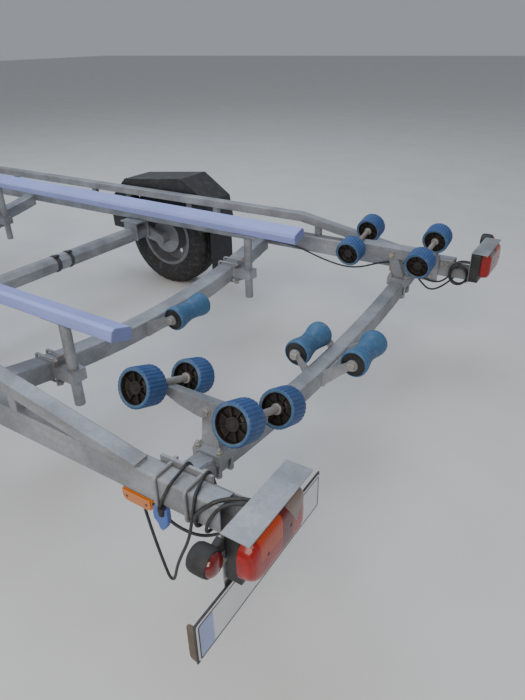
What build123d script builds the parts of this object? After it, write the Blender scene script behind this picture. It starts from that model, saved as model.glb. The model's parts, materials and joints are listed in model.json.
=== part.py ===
import os
from math import atan2, cos, radians, sin, tan

from build123d import *

# Boat trailer, single axle, roller and bunk type, millimetres, +X forward, +Y left, +Z up.
# Lengths along the trailer are given ahead of the rear ends of the side rails.
# fx() turns them into the frame whose origin is on the ground below the middle of the trailer.

# Side rails
rail_top = 500.0
rail_height = 80.0
rail_width = 57.0
rail_wall = 4.0
rail_corner = 7.0
rail_inner_y = 837.0
rail_bend_x = 3600.0
rail_meet_x = 5000.0
upper_width = 45.0
upper_height = 40.0
upper_lift = 102.0
upper_wall = 3.0
upper_tip_x = 241.0
upper_tip_height = 9.0
upper_kink_x = 772.0
upper_front_kink_x = 3200.0
upper_front_tip_x = 3550.0
strut_size = 30.0
strut_places = (683.0, 1310.0, 2250.0, 3020.0)

# Bowed crossbeams: rear face x, width, height, height of the top at the middle, rise at the rail
clamp_reach = 37.0
beam_wall = 4.0
beam_corner = 7.0
rear_beam = {"x": 154.0, "width": 59.0, "height": 64.0, "top": 378.0, "rise": 70.0, "half": rail_inner_y - clamp_reach}
middle_beam = {"x": 953.0, "width": 80.0, "height": 70.0, "top": 365.0, "rise": 97.0, "half": rail_inner_y}
front_beam = {"x": 2810.0, "width": 80.0, "height": 70.0, "top": 365.0, "rise": 97.0, "half": rail_inner_y}

# Drawbar and coupling
drawbar_size = 80.0
drawbar_wall = 5.0
drawbar_front_x = 5320.0
housing_length = 150.0
bellows_length = 158.0
head_length = 122.0
ball_z = 430.0
ball_radius = 25.4

# Road wheels and torsion axle
tyre_radius = 300.0
tyre_width = 185.0
wheel_x = 1765.0
wheel_y = 1028.0
rim_radius = 165.0
rim_width = 140.0
flange_radius = 178.0
rim_thickness = 6.0
drum_radius = 95.0
stub_radius = 17.0
running_gap = 0.3
axle_x = 1890.0
axle_z = 340.0
axle_flats = 80.0
arm_thickness = 24.0

# Mudguards
guard_inner_y = 915.0
guard_outer_y = 1138.0
guard_wall = 4.0
guard_skirt = 90.0
guard_nose_down = 5.5
flap_x = 1400.0
flap_bottom = 140.0

# Bunks
bunk_rear_x = 606.0
bunk_length = 2700.0
bunk_width = 85.0
bunk_thickness = 44.0
bunk_y = 540.0
bunk_top = 619.0
bunk_tilt = 17.0
bunk_rise = 0.8
post_radius = 19.0
post_bottom = 250.0
rear_post_x = 880.0
front_post_x = 2737.0

# Roller cradles
cradle_x = 213.0
shaft_spacing = 300.0
roller_spacing = 212.0
roller_radius = 55.0
roller_width = 70.0
roller_rim = 13.0
shaft_radius = 10.0
cradle_arm_width = 50.0
cradle_arm_wall = 4.0
pivot_drop = 38.0
pivot_radius = 7.0
stem_width = 30.0

# Keel rollers
keel_end_radius = 48.0
keel_waist_radius = 33.0
keel_half_length = 92.0
keel_pin_radius = 8.0
keel_ear_thickness = 6.0

# Rear lamps and number plate
hood_front_x = -86.0
hood_depth = 66.0
hood_inner_y = 758.0
hood_outer_y = 1002.0
hood_top = 573.0
hood_height = 132.0
hood_sheet = 3.0
lens_rear_x = -160.0
plate_x = -65.0
plate_width = 520.0
plate_height = 110.0
plate_top = 368.0
plate_inner_y = 552.0

# Jockey wheel
jockey_x = 5165.0
jockey_y = 95.0
jockey_outer_radius = 30.0
jockey_inner_radius = 24.0
jockey_wheel_radius = 100.0
jockey_wheel_width = 60.0
jockey_trail = 45.0

# Winch post
winch_x = 4560.0
winch_post_top = 1050.0
winch_post_size = 60.0
drum_hub_radius = 22.0
drum_flange_radius = 58.0
drum_width = 62.0
crank_reach = 190.0

# Smaller sizes
hub_radius = 52.0
disc_offset = 30.0
drum_inset = 62.0
hub_nose = 34.0
stub_reach = 20.0
vent_count = 10
vent_radius = 13.0
bolt_count = 4
bolt_pcd = 100.0
plate_y = 952.0
arm_big_radius = 38.0
arm_small_radius = 30.0
guard_top_half = 225.0
guard_top_z = 355.0
guard_lip = 30.0
flap_top = 400.0
stay_reach = 235.0
stay_grip = 65.0
stay_rise = 90.0
stay_width = 40.0
stay_sheet = 5.0
bunk_round = 7.0
saddle_gap = 8.0
saddle_length = 130.0
saddle_thickness = 6.0
bolt_radius = 5.0
bolt_gap = 0.2
collar_half = 30.0
collar_bolt = 22.0
clamp_plate = 8.0
clamp_below = 30.0
clamp_above = 14.0
clamp_rear_x = 60.0
clamp_front_x = 213.0
clamp_bolt_places = (90.0, 178.0)
arm_end = 168.0
arm_rise = 16.0
arm_end_drop = 18.0
arm_ear = 40.0
stem_head_radius = 18.0
roller_hub_radius = 19.0
roller_web = 16.0
keel_ear_radius = 20.0
keel_cap_radius = 40.0
keel_side_gap = 5.0
board_thickness = 4.0
board_margin = 4.0
lamp_base_depth = 36.0
bracket_depth = 55.0
lens_height = 104.0
lens_corner = 40.0
marker_x = -85.0
marker_y = 1048.0
marker_z = 535.0
marker_radius = 32.0
marker_length = 60.0
side_marker_x = 206.0
side_marker_length = 96.0
side_marker_height = 34.0
shaft_z = 470.0
shaft_bar_radius = 25.0
head_bottom = 405.0
head_top = 490.0
head_radius = 37.0
bellows_folds = 7
bellows_low = 32.0
bellows_high = 42.0
jockey_tube_bottom = 385.0
jockey_tube_top = 800.0
jockey_leg_top = 640.0
jockey_pin_radius = 8.0
bow_stop_z = 850.0
winch_rise = 70.0
cable_radius = 4.0
long_edge = 500.0

cradles = (
    {"name": "left", "side": 1, "y": 622.0, "z": 553.0, "lean": 20.8, "stem": 130.0},
    {"name": "right", "side": -1, "y": 659.0, "z": 591.0, "lean": 11.4, "stem": 158.0},
)
keel_rollers = (
    {"name": "middle", "x": 815.0, "z": 405.0, "face": 953.0, "low": 300.0, "toward": 1},
    {"name": "rear_front", "x": 262.0, "z": 410.0, "face": 213.0, "low": 318.0, "toward": -1},
    {"name": "rear_back", "x": 50.0, "z": 430.0, "face": 154.0, "low": 318.0, "toward": 1},
)

housing_front_x = drawbar_front_x + housing_length
bellows_front_x = housing_front_x + bellows_length
ball_x = bellows_front_x + head_length
coupling_nose_x = ball_x + head_radius
mid_x = (coupling_nose_x + lens_rear_x) / 2
rail_bottom = rail_top - rail_height
rail_outer_y = rail_inner_y + rail_width
upper_top = rail_top + upper_lift
SIDES = (("left", 1), ("right", -1))

os.makedirs("parts", exist_ok=True)


def fx(x):
    """Turns a distance ahead of the rails' rear ends into the trailer's own X."""
    return x - mid_x


def save(builder, label):
    """Labels a finished piece and writes it."""
    builder.part.label = label
    export_step(builder.part, "parts/" + label + ".step")


def block(x0, x1, y0, y1, z0, z1, mode=Mode.ADD):
    """A box between two corners, x ahead of the rails' rear ends."""
    with Locations((fx((x0 + x1) / 2), (y0 + y1) / 2, (z0 + z1) / 2)):
        Box(abs(x1 - x0), abs(y1 - y0), abs(z1 - z0), mode=mode)


def rod(x, y, z, radius, length, axis="z", mode=Mode.ADD):
    """A round bar centred at a point, along one axis."""
    turn = {"x": (0, 90, 0), "y": (90, 0, 0), "z": (0, 0, 0)}[axis]
    with Locations(Location((fx(x), y, z), turn)):
        Cylinder(radius, length, mode=mode)


def round_long_edges(builder, radius):
    """Rounds the edges that run along the top and bottom of a tube."""
    top = builder.edges().group_by(Axis.Z)[-1].filter_by(lambda e: e.length > long_edge)
    bottom = builder.edges().group_by(Axis.Z)[0].filter_by(lambda e: e.length > long_edge)
    fillet(top + bottom, radius=radius)


def u_bolt(corners, radius):
    """A bent round bar through corner points, bent to twice its own radius."""
    with BuildLine() as path:
        FilletPolyline(*[(fx(x), y, z) for x, y, z in corners], radius=2 * radius)
    with BuildSketch(path.line ^ 0) as section:
        Circle(radius)
    sweep(section.sketch, path=path.line)


# Lower rails: a hollow box section, straight, then bent in to meet the drawbar
def rail_strip(side, inset):
    """Plan outline of a lower rail, inset by a wall."""
    run = rail_meet_x - rail_bend_x
    drop = rail_inner_y - drawbar_size / 2
    slant = atan2(drop, run)
    inner = rail_inner_y + inset
    outer = rail_outer_y - inset
    end_in = drawbar_size / 2
    turn = tan(slant / 2)
    inner_bend = rail_bend_x + inset * turn
    outer_bend = rail_bend_x + (rail_width - inset) * turn
    inner_end = inner_bend + (inner - end_in) / tan(slant)
    outer_end = outer_bend + (outer - end_in) / tan(slant)
    return [
        (fx(0), side * inner),
        (fx(inner_bend), side * inner),
        (fx(inner_end), side * end_in),
        (fx(outer_end), side * end_in),
        (fx(outer_bend), side * outer),
        (fx(0), side * outer),
    ]


for name, side in SIDES:
    with BuildPart() as lower_rail:
        with BuildSketch(Plane.XY.offset(rail_bottom)):
            with BuildLine():
                Polyline(*rail_strip(side, 0), close=True)
            make_face()
        extrude(amount=rail_height)
        round_long_edges(lower_rail, rail_corner)
        with BuildSketch(Plane.XY.offset(rail_bottom + rail_wall)):
            with BuildLine():
                Polyline(*rail_strip(side, rail_wall), close=True)
            make_face()
        extrude(amount=rail_height - 2 * rail_wall, mode=Mode.SUBTRACT)
    save(lower_rail, "rail_lower_" + name)

# Upper rails: raised on struts, sloping down to the lower rail at both ends
for name, side in SIDES:
    rear_slope = (upper_top - rail_top - upper_tip_height) / (upper_kink_x - upper_tip_x)
    front_slope = (upper_top - rail_top - upper_tip_height) / (upper_front_tip_x - upper_front_kink_x)
    under = upper_top - upper_height
    rear_land = upper_kink_x - (under - rail_top) / rear_slope
    front_land = upper_front_kink_x + (under - rail_top) / front_slope
    outer_face = Plane.XZ.offset(-side * rail_outer_y)
    with BuildPart() as upper_rail:
        with BuildSketch(outer_face):
            with BuildLine():
                Polyline(
                    (fx(upper_tip_x), rail_top),
                    (fx(upper_tip_x), rail_top + upper_tip_height),
                    (fx(upper_kink_x), upper_top),
                    (fx(upper_front_kink_x), upper_top),
                    (fx(upper_front_tip_x), rail_top + upper_tip_height),
                    (fx(upper_front_tip_x), rail_top),
                    (fx(front_land), rail_top),
                    (fx(upper_front_kink_x), under),
                    (fx(upper_kink_x), under),
                    (fx(rear_land), rail_top),
                    close=True,
                )
            make_face()
        extrude(amount=side * upper_width)
        with BuildSketch(outer_face.offset(side * upper_wall)):
            with BuildLine():
                Polyline(
                    (fx(upper_kink_x), upper_top - upper_wall),
                    (fx(upper_front_kink_x), upper_top - upper_wall),
                    (fx(upper_front_kink_x), under + upper_wall),
                    (fx(upper_kink_x), under + upper_wall),
                    close=True,
                )
            make_face()
        extrude(amount=side * (upper_width - 2 * upper_wall), mode=Mode.SUBTRACT)
        for strut_x in strut_places:
            block(
                strut_x - strut_size / 2, strut_x + strut_size / 2,
                side * rail_outer_y, side * (rail_outer_y - strut_size), rail_top, under,
            )
    save(upper_rail, "rail_upper_" + name)


# Crossbeams: box sections bowed down at the middle
def beam_top(beam, y):
    """Height of a bowed beam's top at a distance from the middle."""
    return beam["top"] + beam["rise"] * (y / beam["half"]) ** 2


def beam_profile(beam, inset):
    """Outline of a bowed beam seen from behind, at its rear face plus an inset."""
    half = beam["half"]
    rise = beam["rise"]
    high = beam["top"] - inset
    low = beam["top"] - beam["height"] + inset
    with BuildSketch(Plane.YZ.offset(fx(beam["x"]) + inset)) as profile:
        with BuildLine():
            ThreePointArc((-half, high + rise), (0, high), (half, high + rise))
            Line((half, high + rise), (half, low + rise))
            ThreePointArc((half, low + rise), (0, low), (-half, low + rise))
            Line((-half, low + rise), (-half, high + rise))
        make_face()
    return profile.sketch


for label, beam in (
    ("crossbeam_rear", rear_beam),
    ("crossbeam_middle", middle_beam),
    ("crossbeam_front", front_beam),
):
    with BuildPart() as crossbeam:
        extrude(beam_profile(beam, 0), amount=beam["width"])
        bows = crossbeam.edges().filter_by(lambda e: e.length > long_edge)
        fillet(bows, radius=beam_corner)
        extrude(beam_profile(beam, beam_wall), amount=beam["width"] - 2 * beam_wall, mode=Mode.SUBTRACT)
    save(crossbeam, label)

# Drawbar: the central tube and the straight beam between the bends of the rails
with BuildPart() as drawbar:
    half_bar = drawbar_size / 2
    nose_beam_x = rail_bend_x - 60
    block(nose_beam_x, nose_beam_x + 60, -rail_inner_y, rail_inner_y, rail_bottom + 10, rail_top - 10)
    block(nose_beam_x, drawbar_front_x, -half_bar, half_bar, rail_bottom, rail_top)
    block(
        nose_beam_x + 60, drawbar_front_x, -half_bar + drawbar_wall, half_bar - drawbar_wall,
        rail_bottom + drawbar_wall, rail_top - drawbar_wall, mode=Mode.SUBTRACT,
    )
save(drawbar, "drawbar")

# Torsion axle: an eight-sided tube carried under the rails
with BuildPart() as axle_tube:
    with BuildSketch(Plane.XZ.offset(-rail_outer_y)):
        with Locations((fx(axle_x), axle_z)):
            RegularPolygon(axle_flats / 2, 8, major_radius=False, rotation=22.5)
            Circle(axle_flats / 2 - 8, mode=Mode.SUBTRACT)
    extrude(amount=2 * rail_outer_y)
save(axle_tube, "axle_tube")

with BuildPart() as axle_mounts:
    for side in (1, -1):
        block(
            axle_x - 70, axle_x + 70, side * (rail_inner_y - 60), side * rail_outer_y,
            rail_bottom - 8, rail_bottom,
        )
        for offset_y in (rail_inner_y - 54, rail_outer_y - 14):
            block(
                axle_x - 50, axle_x + 50, side * offset_y, side * (offset_y + 8),
                axle_z - 30, rail_bottom - 8,
            )
    with BuildSketch(Plane.XZ.offset(-rail_outer_y - 1)):
        with Locations((fx(axle_x), axle_z)):
            RegularPolygon(axle_flats / 2, 8, major_radius=False, rotation=22.5)
    extrude(amount=2 * rail_outer_y + 2, mode=Mode.SUBTRACT)
save(axle_mounts, "axle_mounts")

# Torsion arms: trailing arms with the stub axles and brake back plates
arm_inner_y = rail_outer_y
arm_outer_y = rail_outer_y + arm_thickness
stub_end = wheel_y + stub_reach
with BuildPart() as torsion_arms:
    for side in (1, -1):
        with BuildSketch(Plane.XZ.offset(-side * arm_inner_y)):
            with Locations((fx(axle_x), axle_z)):
                Circle(arm_big_radius)
            with Locations((fx(wheel_x), tyre_radius)):
                Circle(arm_small_radius)
            with BuildLine():
                Polyline(
                    (fx(axle_x), axle_z + arm_big_radius), (fx(wheel_x), tyre_radius + arm_small_radius),
                    (fx(wheel_x), tyre_radius - arm_small_radius), (fx(axle_x), axle_z - arm_big_radius),
                    close=True,
                )
            make_face()
        extrude(amount=-side * arm_thickness)
        rod(wheel_x, side * (arm_outer_y + stub_end) / 2, tyre_radius, stub_radius, stub_end - arm_outer_y, "y")
        rod(wheel_x, side * (arm_outer_y + plate_y) / 2, tyre_radius, arm_small_radius, plate_y - arm_outer_y, "y")
        rod(wheel_x, side * (plate_y + 3), tyre_radius, drum_radius + 3, 6, "y")
save(torsion_arms, "torsion_arms")

# Road wheels: a tyre on a pressed rim with hub and brake drum
rim_side = rim_width / 2
half_wall = tyre_width / 2
half_tread = half_wall - 20
crown = 6.0
sidewall_r = (flange_radius + tyre_radius) / 2
for name, side in SIDES:
    wheel_plane = Plane(origin=(fx(wheel_x), side * wheel_y, tyre_radius), x_dir=(1, 0, 0), z_dir=(0, 0, 1))
    wheel_axis = Axis((fx(wheel_x), side * wheel_y, tyre_radius), (0, 1, 0))
    with BuildPart() as tyre:
        with BuildSketch(wheel_plane):
            with BuildLine():
                Polyline((rim_radius, -rim_side), (flange_radius + 1, -rim_side), (flange_radius + 4, -rim_side - 7))
                ThreePointArc(
                    (flange_radius + 4, -rim_side - 7), (sidewall_r, -half_wall),
                    (tyre_radius - crown - 8, -half_tread),
                )
                Line((tyre_radius - crown - 8, -half_tread), (tyre_radius - crown, -half_tread + 12))
                ThreePointArc(
                    (tyre_radius - crown, -half_tread + 12), (tyre_radius, 0),
                    (tyre_radius - crown, half_tread - 12),
                )
                Line((tyre_radius - crown, half_tread - 12), (tyre_radius - crown - 8, half_tread))
                ThreePointArc(
                    (tyre_radius - crown - 8, half_tread), (sidewall_r, half_wall),
                    (flange_radius + 4, rim_side + 7),
                )
                Polyline((flange_radius + 4, rim_side + 7), (flange_radius + 1, rim_side), (rim_radius, rim_side))
                Line((rim_radius, rim_side), (rim_radius, -rim_side))
            make_face()
        revolve(axis=wheel_axis)
    save(tyre, "tyre_" + name)

    barrel_r = rim_radius - rim_thickness
    with BuildPart() as wheel:
        with BuildSketch(wheel_plane):
            with BuildLine():
                Polyline(
                    (rim_radius, -rim_side), (flange_radius, -rim_side), (flange_radius, -rim_side - 6),
                    (barrel_r, -rim_side - 6), (barrel_r, rim_side + 6), (flange_radius, rim_side + 6),
                    (flange_radius, rim_side), (rim_radius, rim_side), close=True,
                )
            make_face()
            with BuildLine():
                Polyline(
                    (hub_radius, side * 6), (hub_radius, side * disc_offset), (barrel_r, side * (disc_offset - 22)),
                    (barrel_r, side * (disc_offset - 28)), (hub_radius + 6, side * (disc_offset - 7)),
                    (hub_radius + 6, side * 6), close=True,
                )
            make_face()
            with Locations((hub_radius / 2 + stub_radius / 2 + 2, side * (disc_offset - 8))):
                Rectangle(hub_radius - stub_radius - 4 + 8, 46)
        revolve(axis=wheel_axis)
        with BuildSketch(wheel_plane):
            with BuildLine():
                Polyline(
                    (stub_radius + running_gap, side * -drum_inset), (drum_radius, side * -drum_inset),
                    (drum_radius, side * (disc_offset - 12)), (hub_radius + 4, side * (disc_offset - 8)),
                    (hub_radius + 4, side * (disc_offset + hub_nose)), (0, side * (disc_offset + hub_nose)),
                    (0, side * (stub_reach + 1)), (stub_radius + running_gap, side * (stub_reach + 1)),
                    close=True,
                )
            make_face()
        revolve(axis=wheel_axis)
        bolt_circle = Plane(
            origin=(fx(wheel_x), side * (wheel_y + disc_offset + 6), tyre_radius),
            x_dir=(1, 0, 0), z_dir=(0, side, 0),
        )
        with BuildSketch(bolt_circle):
            with PolarLocations((hub_radius + barrel_r) / 2 + 8, vent_count):
                Circle(vent_radius)
        extrude(amount=-70, mode=Mode.SUBTRACT)
        with BuildSketch(bolt_circle):
            with PolarLocations(bolt_pcd / 2, bolt_count):
                RegularPolygon(10, 6)
        extrude(amount=12)
    save(wheel, "wheel_" + name)

# Mudguards: faceted plastic shells, a little nose down, with a skirt along each edge
guard_chain = (
    (-395.0, 60.0), (-385.0, 225.0), (-guard_top_half, guard_top_z),
    (guard_top_half, guard_top_z), (385.0, 225.0), (395.0, 60.0),
)


def guard_band(depth):
    """Side outline of a guard: its facets and the same facets moved in towards the hub."""
    shrink = 1 - depth / guard_top_z
    lean = radians(guard_nose_down)
    band = list(guard_chain) + [(x * shrink, z * shrink) for x, z in reversed(guard_chain)]
    return [
        (fx(wheel_x) + x * cos(lean) + z * sin(lean), tyre_radius - x * sin(lean) + z * cos(lean))
        for x, z in band
    ]


for name, side in SIDES:
    with BuildPart() as mudguard:
        for depth, y0, y1 in (
            (guard_wall, guard_inner_y, guard_outer_y),
            (guard_skirt, guard_inner_y, guard_inner_y + guard_wall),
            (guard_lip, guard_outer_y - guard_wall, guard_outer_y),
        ):
            with BuildSketch(Plane.XZ.offset(-side * y0)):
                with BuildLine():
                    Polyline(*guard_band(depth), close=True)
                make_face()
            extrude(amount=-side * (y1 - y0))
    save(mudguard, "mudguard_" + name)

with BuildPart() as guard_stays:
    for side in (1, -1):
        for stay_x in (wheel_x - stay_reach, wheel_x + stay_reach):
            low = rail_top - stay_grip
            high = rail_top + stay_rise
            outer = guard_inner_y
            inner = rail_outer_y
            with BuildSketch(Plane.YZ.offset(fx(stay_x - stay_width / 2))):
                with BuildLine():
                    Polyline(
                        (side * inner, low), (side * (inner + stay_sheet), low),
                        (side * (inner + stay_sheet), rail_top - stay_sheet), (side * outer, rail_top - stay_sheet),
                        (side * outer, high), (side * (outer - stay_sheet), high),
                        (side * (outer - stay_sheet), rail_top), (side * inner, rail_top), close=True,
                    )
                make_face()
            extrude(amount=stay_width)
save(guard_stays, "guard_stays")

with BuildPart() as mud_flaps:
    for side in (1, -1):
        block(flap_x - 4, flap_x, side * (guard_inner_y + 8), side * (guard_outer_y - 8), flap_bottom, flap_top)
save(mud_flaps, "mud_flaps")

# Bunks: long padded beams, outer edge up, rising slightly towards the front
for name, side in SIDES:
    half_run = bunk_length / 2
    centre_z = bunk_top - bunk_thickness / 2 + half_run * sin(radians(bunk_rise))
    with BuildPart() as bunk:
        with Locations(Location((fx(bunk_rear_x + half_run), side * bunk_y, centre_z), (side * bunk_tilt, -bunk_rise, 0))):
            Box(bunk_length, bunk_width, bunk_thickness)
        fillet(bunk.edges().filter_by(lambda e: e.length > bunk_length - 1), radius=bunk_round)
    save(bunk, "bunk_" + name)


def bunk_under(x):
    """Height of the underside of a bunk above its centre line."""
    return bunk_top + (x - bunk_rear_x) * tan(radians(bunk_rise)) - bunk_thickness / cos(radians(bunk_tilt))


bunk_stations = ((rear_post_x, middle_beam), (front_post_x, front_beam))
with BuildPart() as bunk_posts:
    for side in (1, -1):
        for post_x, beam in bunk_stations:
            high = bunk_under(post_x) - saddle_gap
            rod(post_x, side * bunk_y, (post_bottom + high) / 2, post_radius, high - post_bottom)
            with Locations(Location((fx(post_x), side * bunk_y, high + saddle_gap / 2), (side * bunk_tilt, -bunk_rise, 0))):
                Box(saddle_length, bunk_width - 10, saddle_thickness)
save(bunk_posts, "bunk_posts")

# Rear crossbeam brackets: a plate on the rail's inner face held by two U-bolts round the rail
def rail_clamp(side):
    """One rear crossbeam bracket with its U-bolts."""
    inner = rail_inner_y - clamp_plate
    block(
        clamp_rear_x, clamp_front_x, side * inner, side * rail_inner_y,
        rail_bottom - clamp_below, rail_top + clamp_above,
    )
    block(
        rear_beam["x"], rear_beam["x"] + rear_beam["width"], side * rear_beam["half"], side * inner,
        rail_bottom - clamp_below, rail_top - 50,
    )
    for bolt_x in clamp_bolt_places:
        near = side * (inner - 10)
        far = side * (rail_outer_y + bolt_radius + bolt_gap)
        low = rail_bottom - bolt_radius - bolt_gap
        high = rail_top + bolt_radius + bolt_gap
        u_bolt(((bolt_x, near, high), (bolt_x, far, high), (bolt_x, far, low), (bolt_x, near, low)), bolt_radius)


with BuildPart() as beam_clamps:
    for side in (1, -1):
        for post_x, beam in bunk_stations:
            mid_z = beam_top(beam, bunk_y) - beam["height"] / 2
            block(
                post_x - post_radius - 8, beam["x"], side * (bunk_y - collar_half), side * (bunk_y + collar_half),
                mid_z - 22, mid_z + 22,
            )
            for bolt_y in (bunk_y - collar_bolt, bunk_y + collar_bolt):
                high = beam_top(beam, bolt_y) + bolt_radius + 6
                low = beam_top(beam, bolt_y) - beam["height"] - bolt_radius - 6
                rear = beam["x"] - 22
                front = beam["x"] + beam["width"] + bolt_radius + bolt_gap
                y = side * bolt_y
                u_bolt(((rear, y, high), (front, y, high), (front, y, low), (rear, y, low)), bolt_radius)
            block(
                beam["x"] - 12, beam["x"] - 6, side * (bunk_y - collar_half), side * (bunk_y + collar_half),
                mid_z - beam["height"] / 2 - 18, mid_z + beam["height"] / 2 + 18,
            )
            rod(post_x, side * bunk_y, mid_z, post_radius, 100, mode=Mode.SUBTRACT)
        rail_clamp(side)
save(beam_clamps, "beam_clamps")

# Roller cradles: a rocking arm with two cross shafts on a leaning stem
def cradle_frame(row):
    """Middle of a cradle's shafts, turned about the trailer's length by its lean."""
    return Location((fx(cradle_x), row["side"] * row["y"], row["z"]), (row["side"] * row["lean"], 0, 0))


def cradle_face(row, y):
    """Plane along a cradle's arm, at a distance outwards from its middle."""
    return Plane(cradle_frame(row) * Location((0, row["side"] * y, 0), (90, 0, 0)))


for row in cradles:
    side = row["side"]
    with BuildPart() as cradle:
        with BuildSketch(cradle_face(row, -cradle_arm_width / 2)):
            with BuildLine():
                Polyline(
                    (-arm_end, -arm_end_drop), (-arm_end, arm_rise), (arm_end, arm_rise), (arm_end, -arm_end_drop),
                    (arm_ear, -pivot_drop - arm_rise), (-arm_ear, -pivot_drop - arm_rise), close=True,
                )
            make_face()
        extrude(amount=-side * cradle_arm_width)
        with Locations(cradle_frame(row) * Location((0, 0, -cradle_arm_wall - 50 + arm_rise))):
            Box(2 * arm_end + 2, cradle_arm_width - 2 * cradle_arm_wall, 100, mode=Mode.SUBTRACT)
        for shaft_x in (-shaft_spacing / 2, shaft_spacing / 2):
            with Locations(cradle_frame(row) * Location((shaft_x, 0, 0), (90, 0, 0))):
                Cylinder(shaft_radius, roller_spacing + roller_width + 16)
        with Locations(cradle_frame(row) * Location((0, 0, -pivot_drop), (90, 0, 0))):
            Cylinder(pivot_radius + running_gap, cradle_arm_width + 2, mode=Mode.SUBTRACT)
    save(cradle, "cradle_" + row["name"])

    with BuildPart() as roller_stem:
        foot = row["stem"]
        with BuildSketch(cradle_face(row, -stem_width / 2)):
            with Locations((0, -pivot_drop)):
                Circle(stem_head_radius)
            with BuildLine():
                Polyline(
                    (-stem_head_radius, -pivot_drop), (stem_head_radius, -pivot_drop),
                    (2, -foot), (-rear_beam["width"] + 2, -foot), close=True,
                )
            make_face()
        extrude(amount=-side * stem_width)
        with Locations(cradle_frame(row) * Location((0, 0, -pivot_drop), (90, 0, 0))):
            Cylinder(pivot_radius, cradle_arm_width + 24)
        foot_y = row["y"] + foot * sin(radians(row["lean"]))
        mount_top = beam_top(rear_beam, foot_y) + 14
        block(
            rear_beam["x"] - 14, rear_beam["x"] + rear_beam["width"] + 14,
            side * (foot_y - 38), side * (foot_y + 38), mount_top - 34, mount_top,
        )
        extrude(beam_profile(rear_beam, 0), amount=rear_beam["width"], mode=Mode.SUBTRACT)
        for bolt_y in (foot_y - 26, foot_y + 26):
            low = beam_top(rear_beam, bolt_y - 6) - rear_beam["height"] - bolt_radius - bolt_gap
            rear = rear_beam["x"] - bolt_radius - bolt_gap
            front = rear_beam["x"] + rear_beam["width"] + bolt_radius + bolt_gap
            y = side * bolt_y
            high = mount_top + 12
            u_bolt(((rear, y, high), (rear, y, low), (front, y, low), (front, y, high)), bolt_radius)
    save(roller_stem, "roller_stem_" + row["name"])

    for end_name, shaft_x in (("rear", -shaft_spacing / 2), ("front", shaft_spacing / 2)):
        for place, offset_y in (("inner", -roller_spacing / 2), ("outer", roller_spacing / 2)):
            spin = cradle_frame(row) * Location((shaft_x, side * offset_y, 0))
            roller_plane = Plane(spin)
            with BuildPart() as roller:
                half = roller_width / 2
                with BuildSketch(roller_plane):
                    with BuildLine():
                        Polyline(
                            (roller_radius - roller_rim, -half), (roller_radius - 4, -half),
                            (roller_radius, -half + 4), (roller_radius, half - 4),
                            (roller_radius - 4, half), (roller_radius - roller_rim, half), close=True,
                        )
                    make_face()
                    with Locations(((shaft_radius + running_gap + roller_hub_radius) / 2, 0)):
                        Rectangle(roller_hub_radius - shaft_radius - running_gap, roller_width)
                    with Locations(((roller_hub_radius + roller_radius - roller_rim) / 2, 0)):
                        Rectangle(roller_radius - roller_rim - roller_hub_radius + 2, roller_web)
                revolve(axis=Axis(roller_plane.origin, roller_plane.y_dir))
            save(roller, "roller_" + row["name"] + "_" + end_name + "_" + place)

# Keel rollers: spool rollers between two ears on the crossbeams
with BuildPart() as keel_brackets:
    for row in keel_rollers:
        for side in (1, -1):
            ear_y = keel_half_length + keel_side_gap
            with BuildSketch(Plane.XZ.offset(-side * ear_y)):
                with Locations((fx(row["x"]), row["z"])):
                    Circle(keel_ear_radius)
                with BuildLine():
                    Polyline(
                        (fx(row["x"]), row["z"] + keel_ear_radius), (fx(row["face"]), row["low"] + 62),
                        (fx(row["face"]), row["low"]),
                        (fx(row["x"]) + row["toward"] * 8, row["z"] - keel_ear_radius), close=True,
                    )
                make_face()
            extrude(amount=-side * keel_ear_thickness)
        rod(row["x"], 0, row["z"], keel_pin_radius, 2 * (keel_half_length + keel_side_gap + keel_ear_thickness) + 16, "y")
        base_y = keel_half_length + keel_side_gap + keel_ear_thickness
        block(row["face"] - row["toward"] * 6, row["face"], -base_y, base_y, row["low"], row["low"] + 50)
    for beam in (rear_beam, middle_beam):
        extrude(beam_profile(beam, 0), amount=beam["width"], mode=Mode.SUBTRACT)
save(keel_brackets, "keel_brackets")

for row in keel_rollers:
    roller_plane = Plane(origin=(fx(row["x"]), 0, row["z"]), x_dir=(1, 0, 0), z_dir=(0, 0, 1))
    with BuildPart() as keel_roller:
        with BuildSketch(roller_plane):
            bore = keel_pin_radius + running_gap
            with BuildLine():
                Polyline(
                    (bore, -keel_half_length), (keel_cap_radius, -keel_half_length),
                    (keel_end_radius, -keel_half_length + 10), (keel_end_radius, -keel_half_length + 34),
                    (keel_waist_radius, -10), (keel_waist_radius, 10),
                    (keel_end_radius, keel_half_length - 34), (keel_end_radius, keel_half_length - 10),
                    (keel_cap_radius, keel_half_length), (bore, keel_half_length), close=True,
                )
            make_face()
        revolve(axis=Axis(roller_plane.origin, (0, 1, 0)))
    save(keel_roller, "keel_roller_" + row["name"])

# Rear lamps: sheet hoods on the rail ends, black bases and long red lenses
hood_rear_x = hood_front_x - hood_depth
with BuildPart() as lamp_hoods:
    for side in (1, -1):
        block(hood_rear_x, hood_front_x, side * hood_inner_y, side * hood_outer_y, hood_top - hood_sheet, hood_top)
        block(
            hood_front_x - hood_sheet, hood_front_x, side * hood_inner_y, side * hood_outer_y,
            hood_top - hood_height, hood_top,
        )
        block(
            hood_front_x, bracket_depth, side * (rail_inner_y - 5), side * rail_inner_y,
            rail_bottom + 6, rail_top - 6,
        )
        block(
            hood_front_x, hood_front_x + 5, side * (rail_inner_y - 5), side * rail_outer_y,
            rail_bottom + 22, rail_top - 6,
        )
save(lamp_hoods, "lamp_hoods")

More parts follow.
